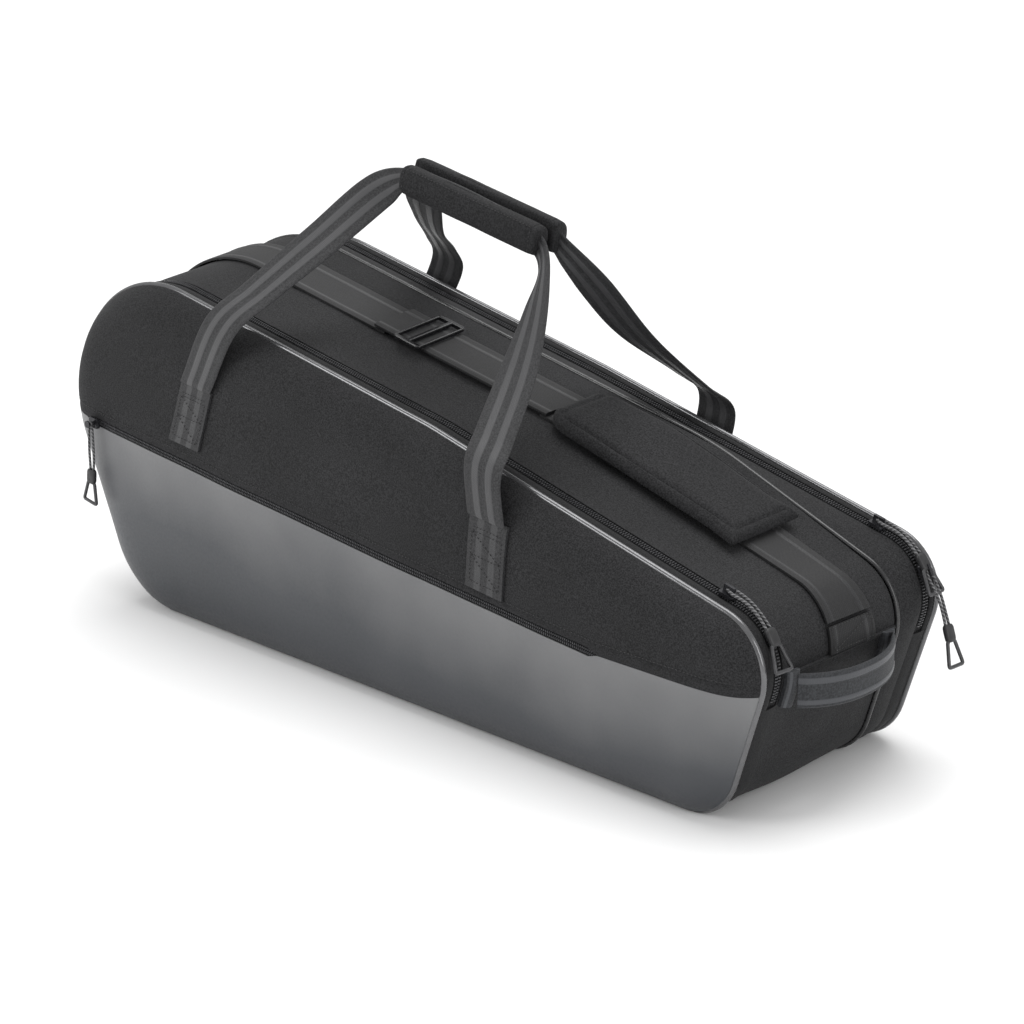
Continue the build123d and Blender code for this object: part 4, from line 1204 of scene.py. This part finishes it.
# ---------------------------------------------------------------- hard parts kept from the CAD
def finish_hard_part(node, material, width):
    """A CAD part of the right shape: its own material, with a small rounded edge."""
    part = frame["nodes"][node]
    part.data.materials.clear()
    part.data.materials.append(material)
    weld = part.modifiers.new("weld", "WELD")
    weld.merge_threshold = 0.01 * MM
    edge = part.modifiers.new("edge", "BEVEL")
    edge.width = width
    edge.segments = 3
    edge.limit_method = "ANGLE"
    edge.angle_limit = math.radians(35)
    edge.harden_normals = True


for node in ("main_slider", "rear_top_slider", "rear_end_slider", "pocket_slider"):
    finish_hard_part(node, SLIDER_METAL, 0.5 * MM)
finish_hard_part("ladder_buckle", BUCKLE, 0.8 * MM)


# ---------------------------------------------------------------- floor, light and camera
def floor():
    """A plain pale floor."""
    look = Look("floor", 0.9)
    look.surface.inputs["Base Color"].default_value = (0.86, 0.86, 0.86, 1)
    mesh = bpy.data.meshes.new("floor")
    size = 30.0
    corners = [(a * size, b * size, 0) for a, b in ((-1, -1), (1, -1), (1, 1), (-1, 1))]
    mesh.from_pydata(corners, [], [(0, 1, 2, 3)])
    mesh.materials.append(look.material)
    place_in_scene("floor", mesh)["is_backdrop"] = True


def aim(thing, direction):
    """Turn a lamp or a camera to look in a direction, level with the horizon."""
    thing.rotation_euler = Vector(direction).to_track_quat("-Z", "Y").to_euler()


def area_light(name, place, size, power):
    """A soft box aimed at the bag."""
    light = bpy.data.lights.new(name, "AREA")
    light.shape = "RECTANGLE"
    light.size, light.size_y = size
    light.energy = power
    lamp = place_in_scene(name, light)
    lamp.location = place
    aim(lamp, Vector((0, 0, 0.15)) - Vector(place))


def soft_sun(direction, power, softness):
    """An even light over the bag and the whole floor."""
    light = bpy.data.lights.new("soft_sun", "SUN")
    light.energy = power
    light.angle = math.radians(softness)
    aim(place_in_scene("soft_sun", light), direction)


def camera(azimuth, elevation, distance, target, lens):
    """A camera that looks at target from the given direction."""
    a, e = math.radians(azimuth), math.radians(elevation)
    back = Vector((math.sin(a) * math.cos(e), -math.cos(a) * math.cos(e), math.sin(e)))
    data = bpy.data.cameras.new("camera")
    data.lens, data.sensor_width = lens, 36.0
    eye = place_in_scene("camera", data)
    eye.location = Vector(target) + back * distance
    aim(eye, -back)
    bpy.context.scene.camera = eye


def studio():
    """A white surround that looks white to the camera and lights the bag a little more softly."""
    world = bpy.data.worlds.new("studio")
    bpy.context.scene.world = world
    world.use_nodes = True
    tree = world.node_tree
    seen = tree.nodes.new("ShaderNodeLightPath").outputs["Is Camera Ray"]
    strength = tree.nodes.new("ShaderNodeMapRange")
    strength.inputs["To Min"].default_value = 0.62
    strength.inputs["To Max"].default_value = 1.0
    tree.links.new(seen, strength.inputs["Value"])
    background = tree.nodes["Background"]
    background.inputs["Color"].default_value = (1, 1, 1, 1)
    tree.links.new(strength.outputs["Result"], background.inputs["Strength"])


studio()
floor()
soft_sun((0.15, -0.25, -1.0), 2.2, 50)
area_light("front_box", (-1.2, -1.9, 1.3), (1.2, 1.0), 20)
area_light("side_box", (2.2, -0.4, 1.0), (1.0, 1.4), 14)
bpy.context.scene.view_settings.view_transform = "Standard"
camera(43.88, 18.22, 1.77686, (0.14799, FRONT, 0.18471), 84.375)

low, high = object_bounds()
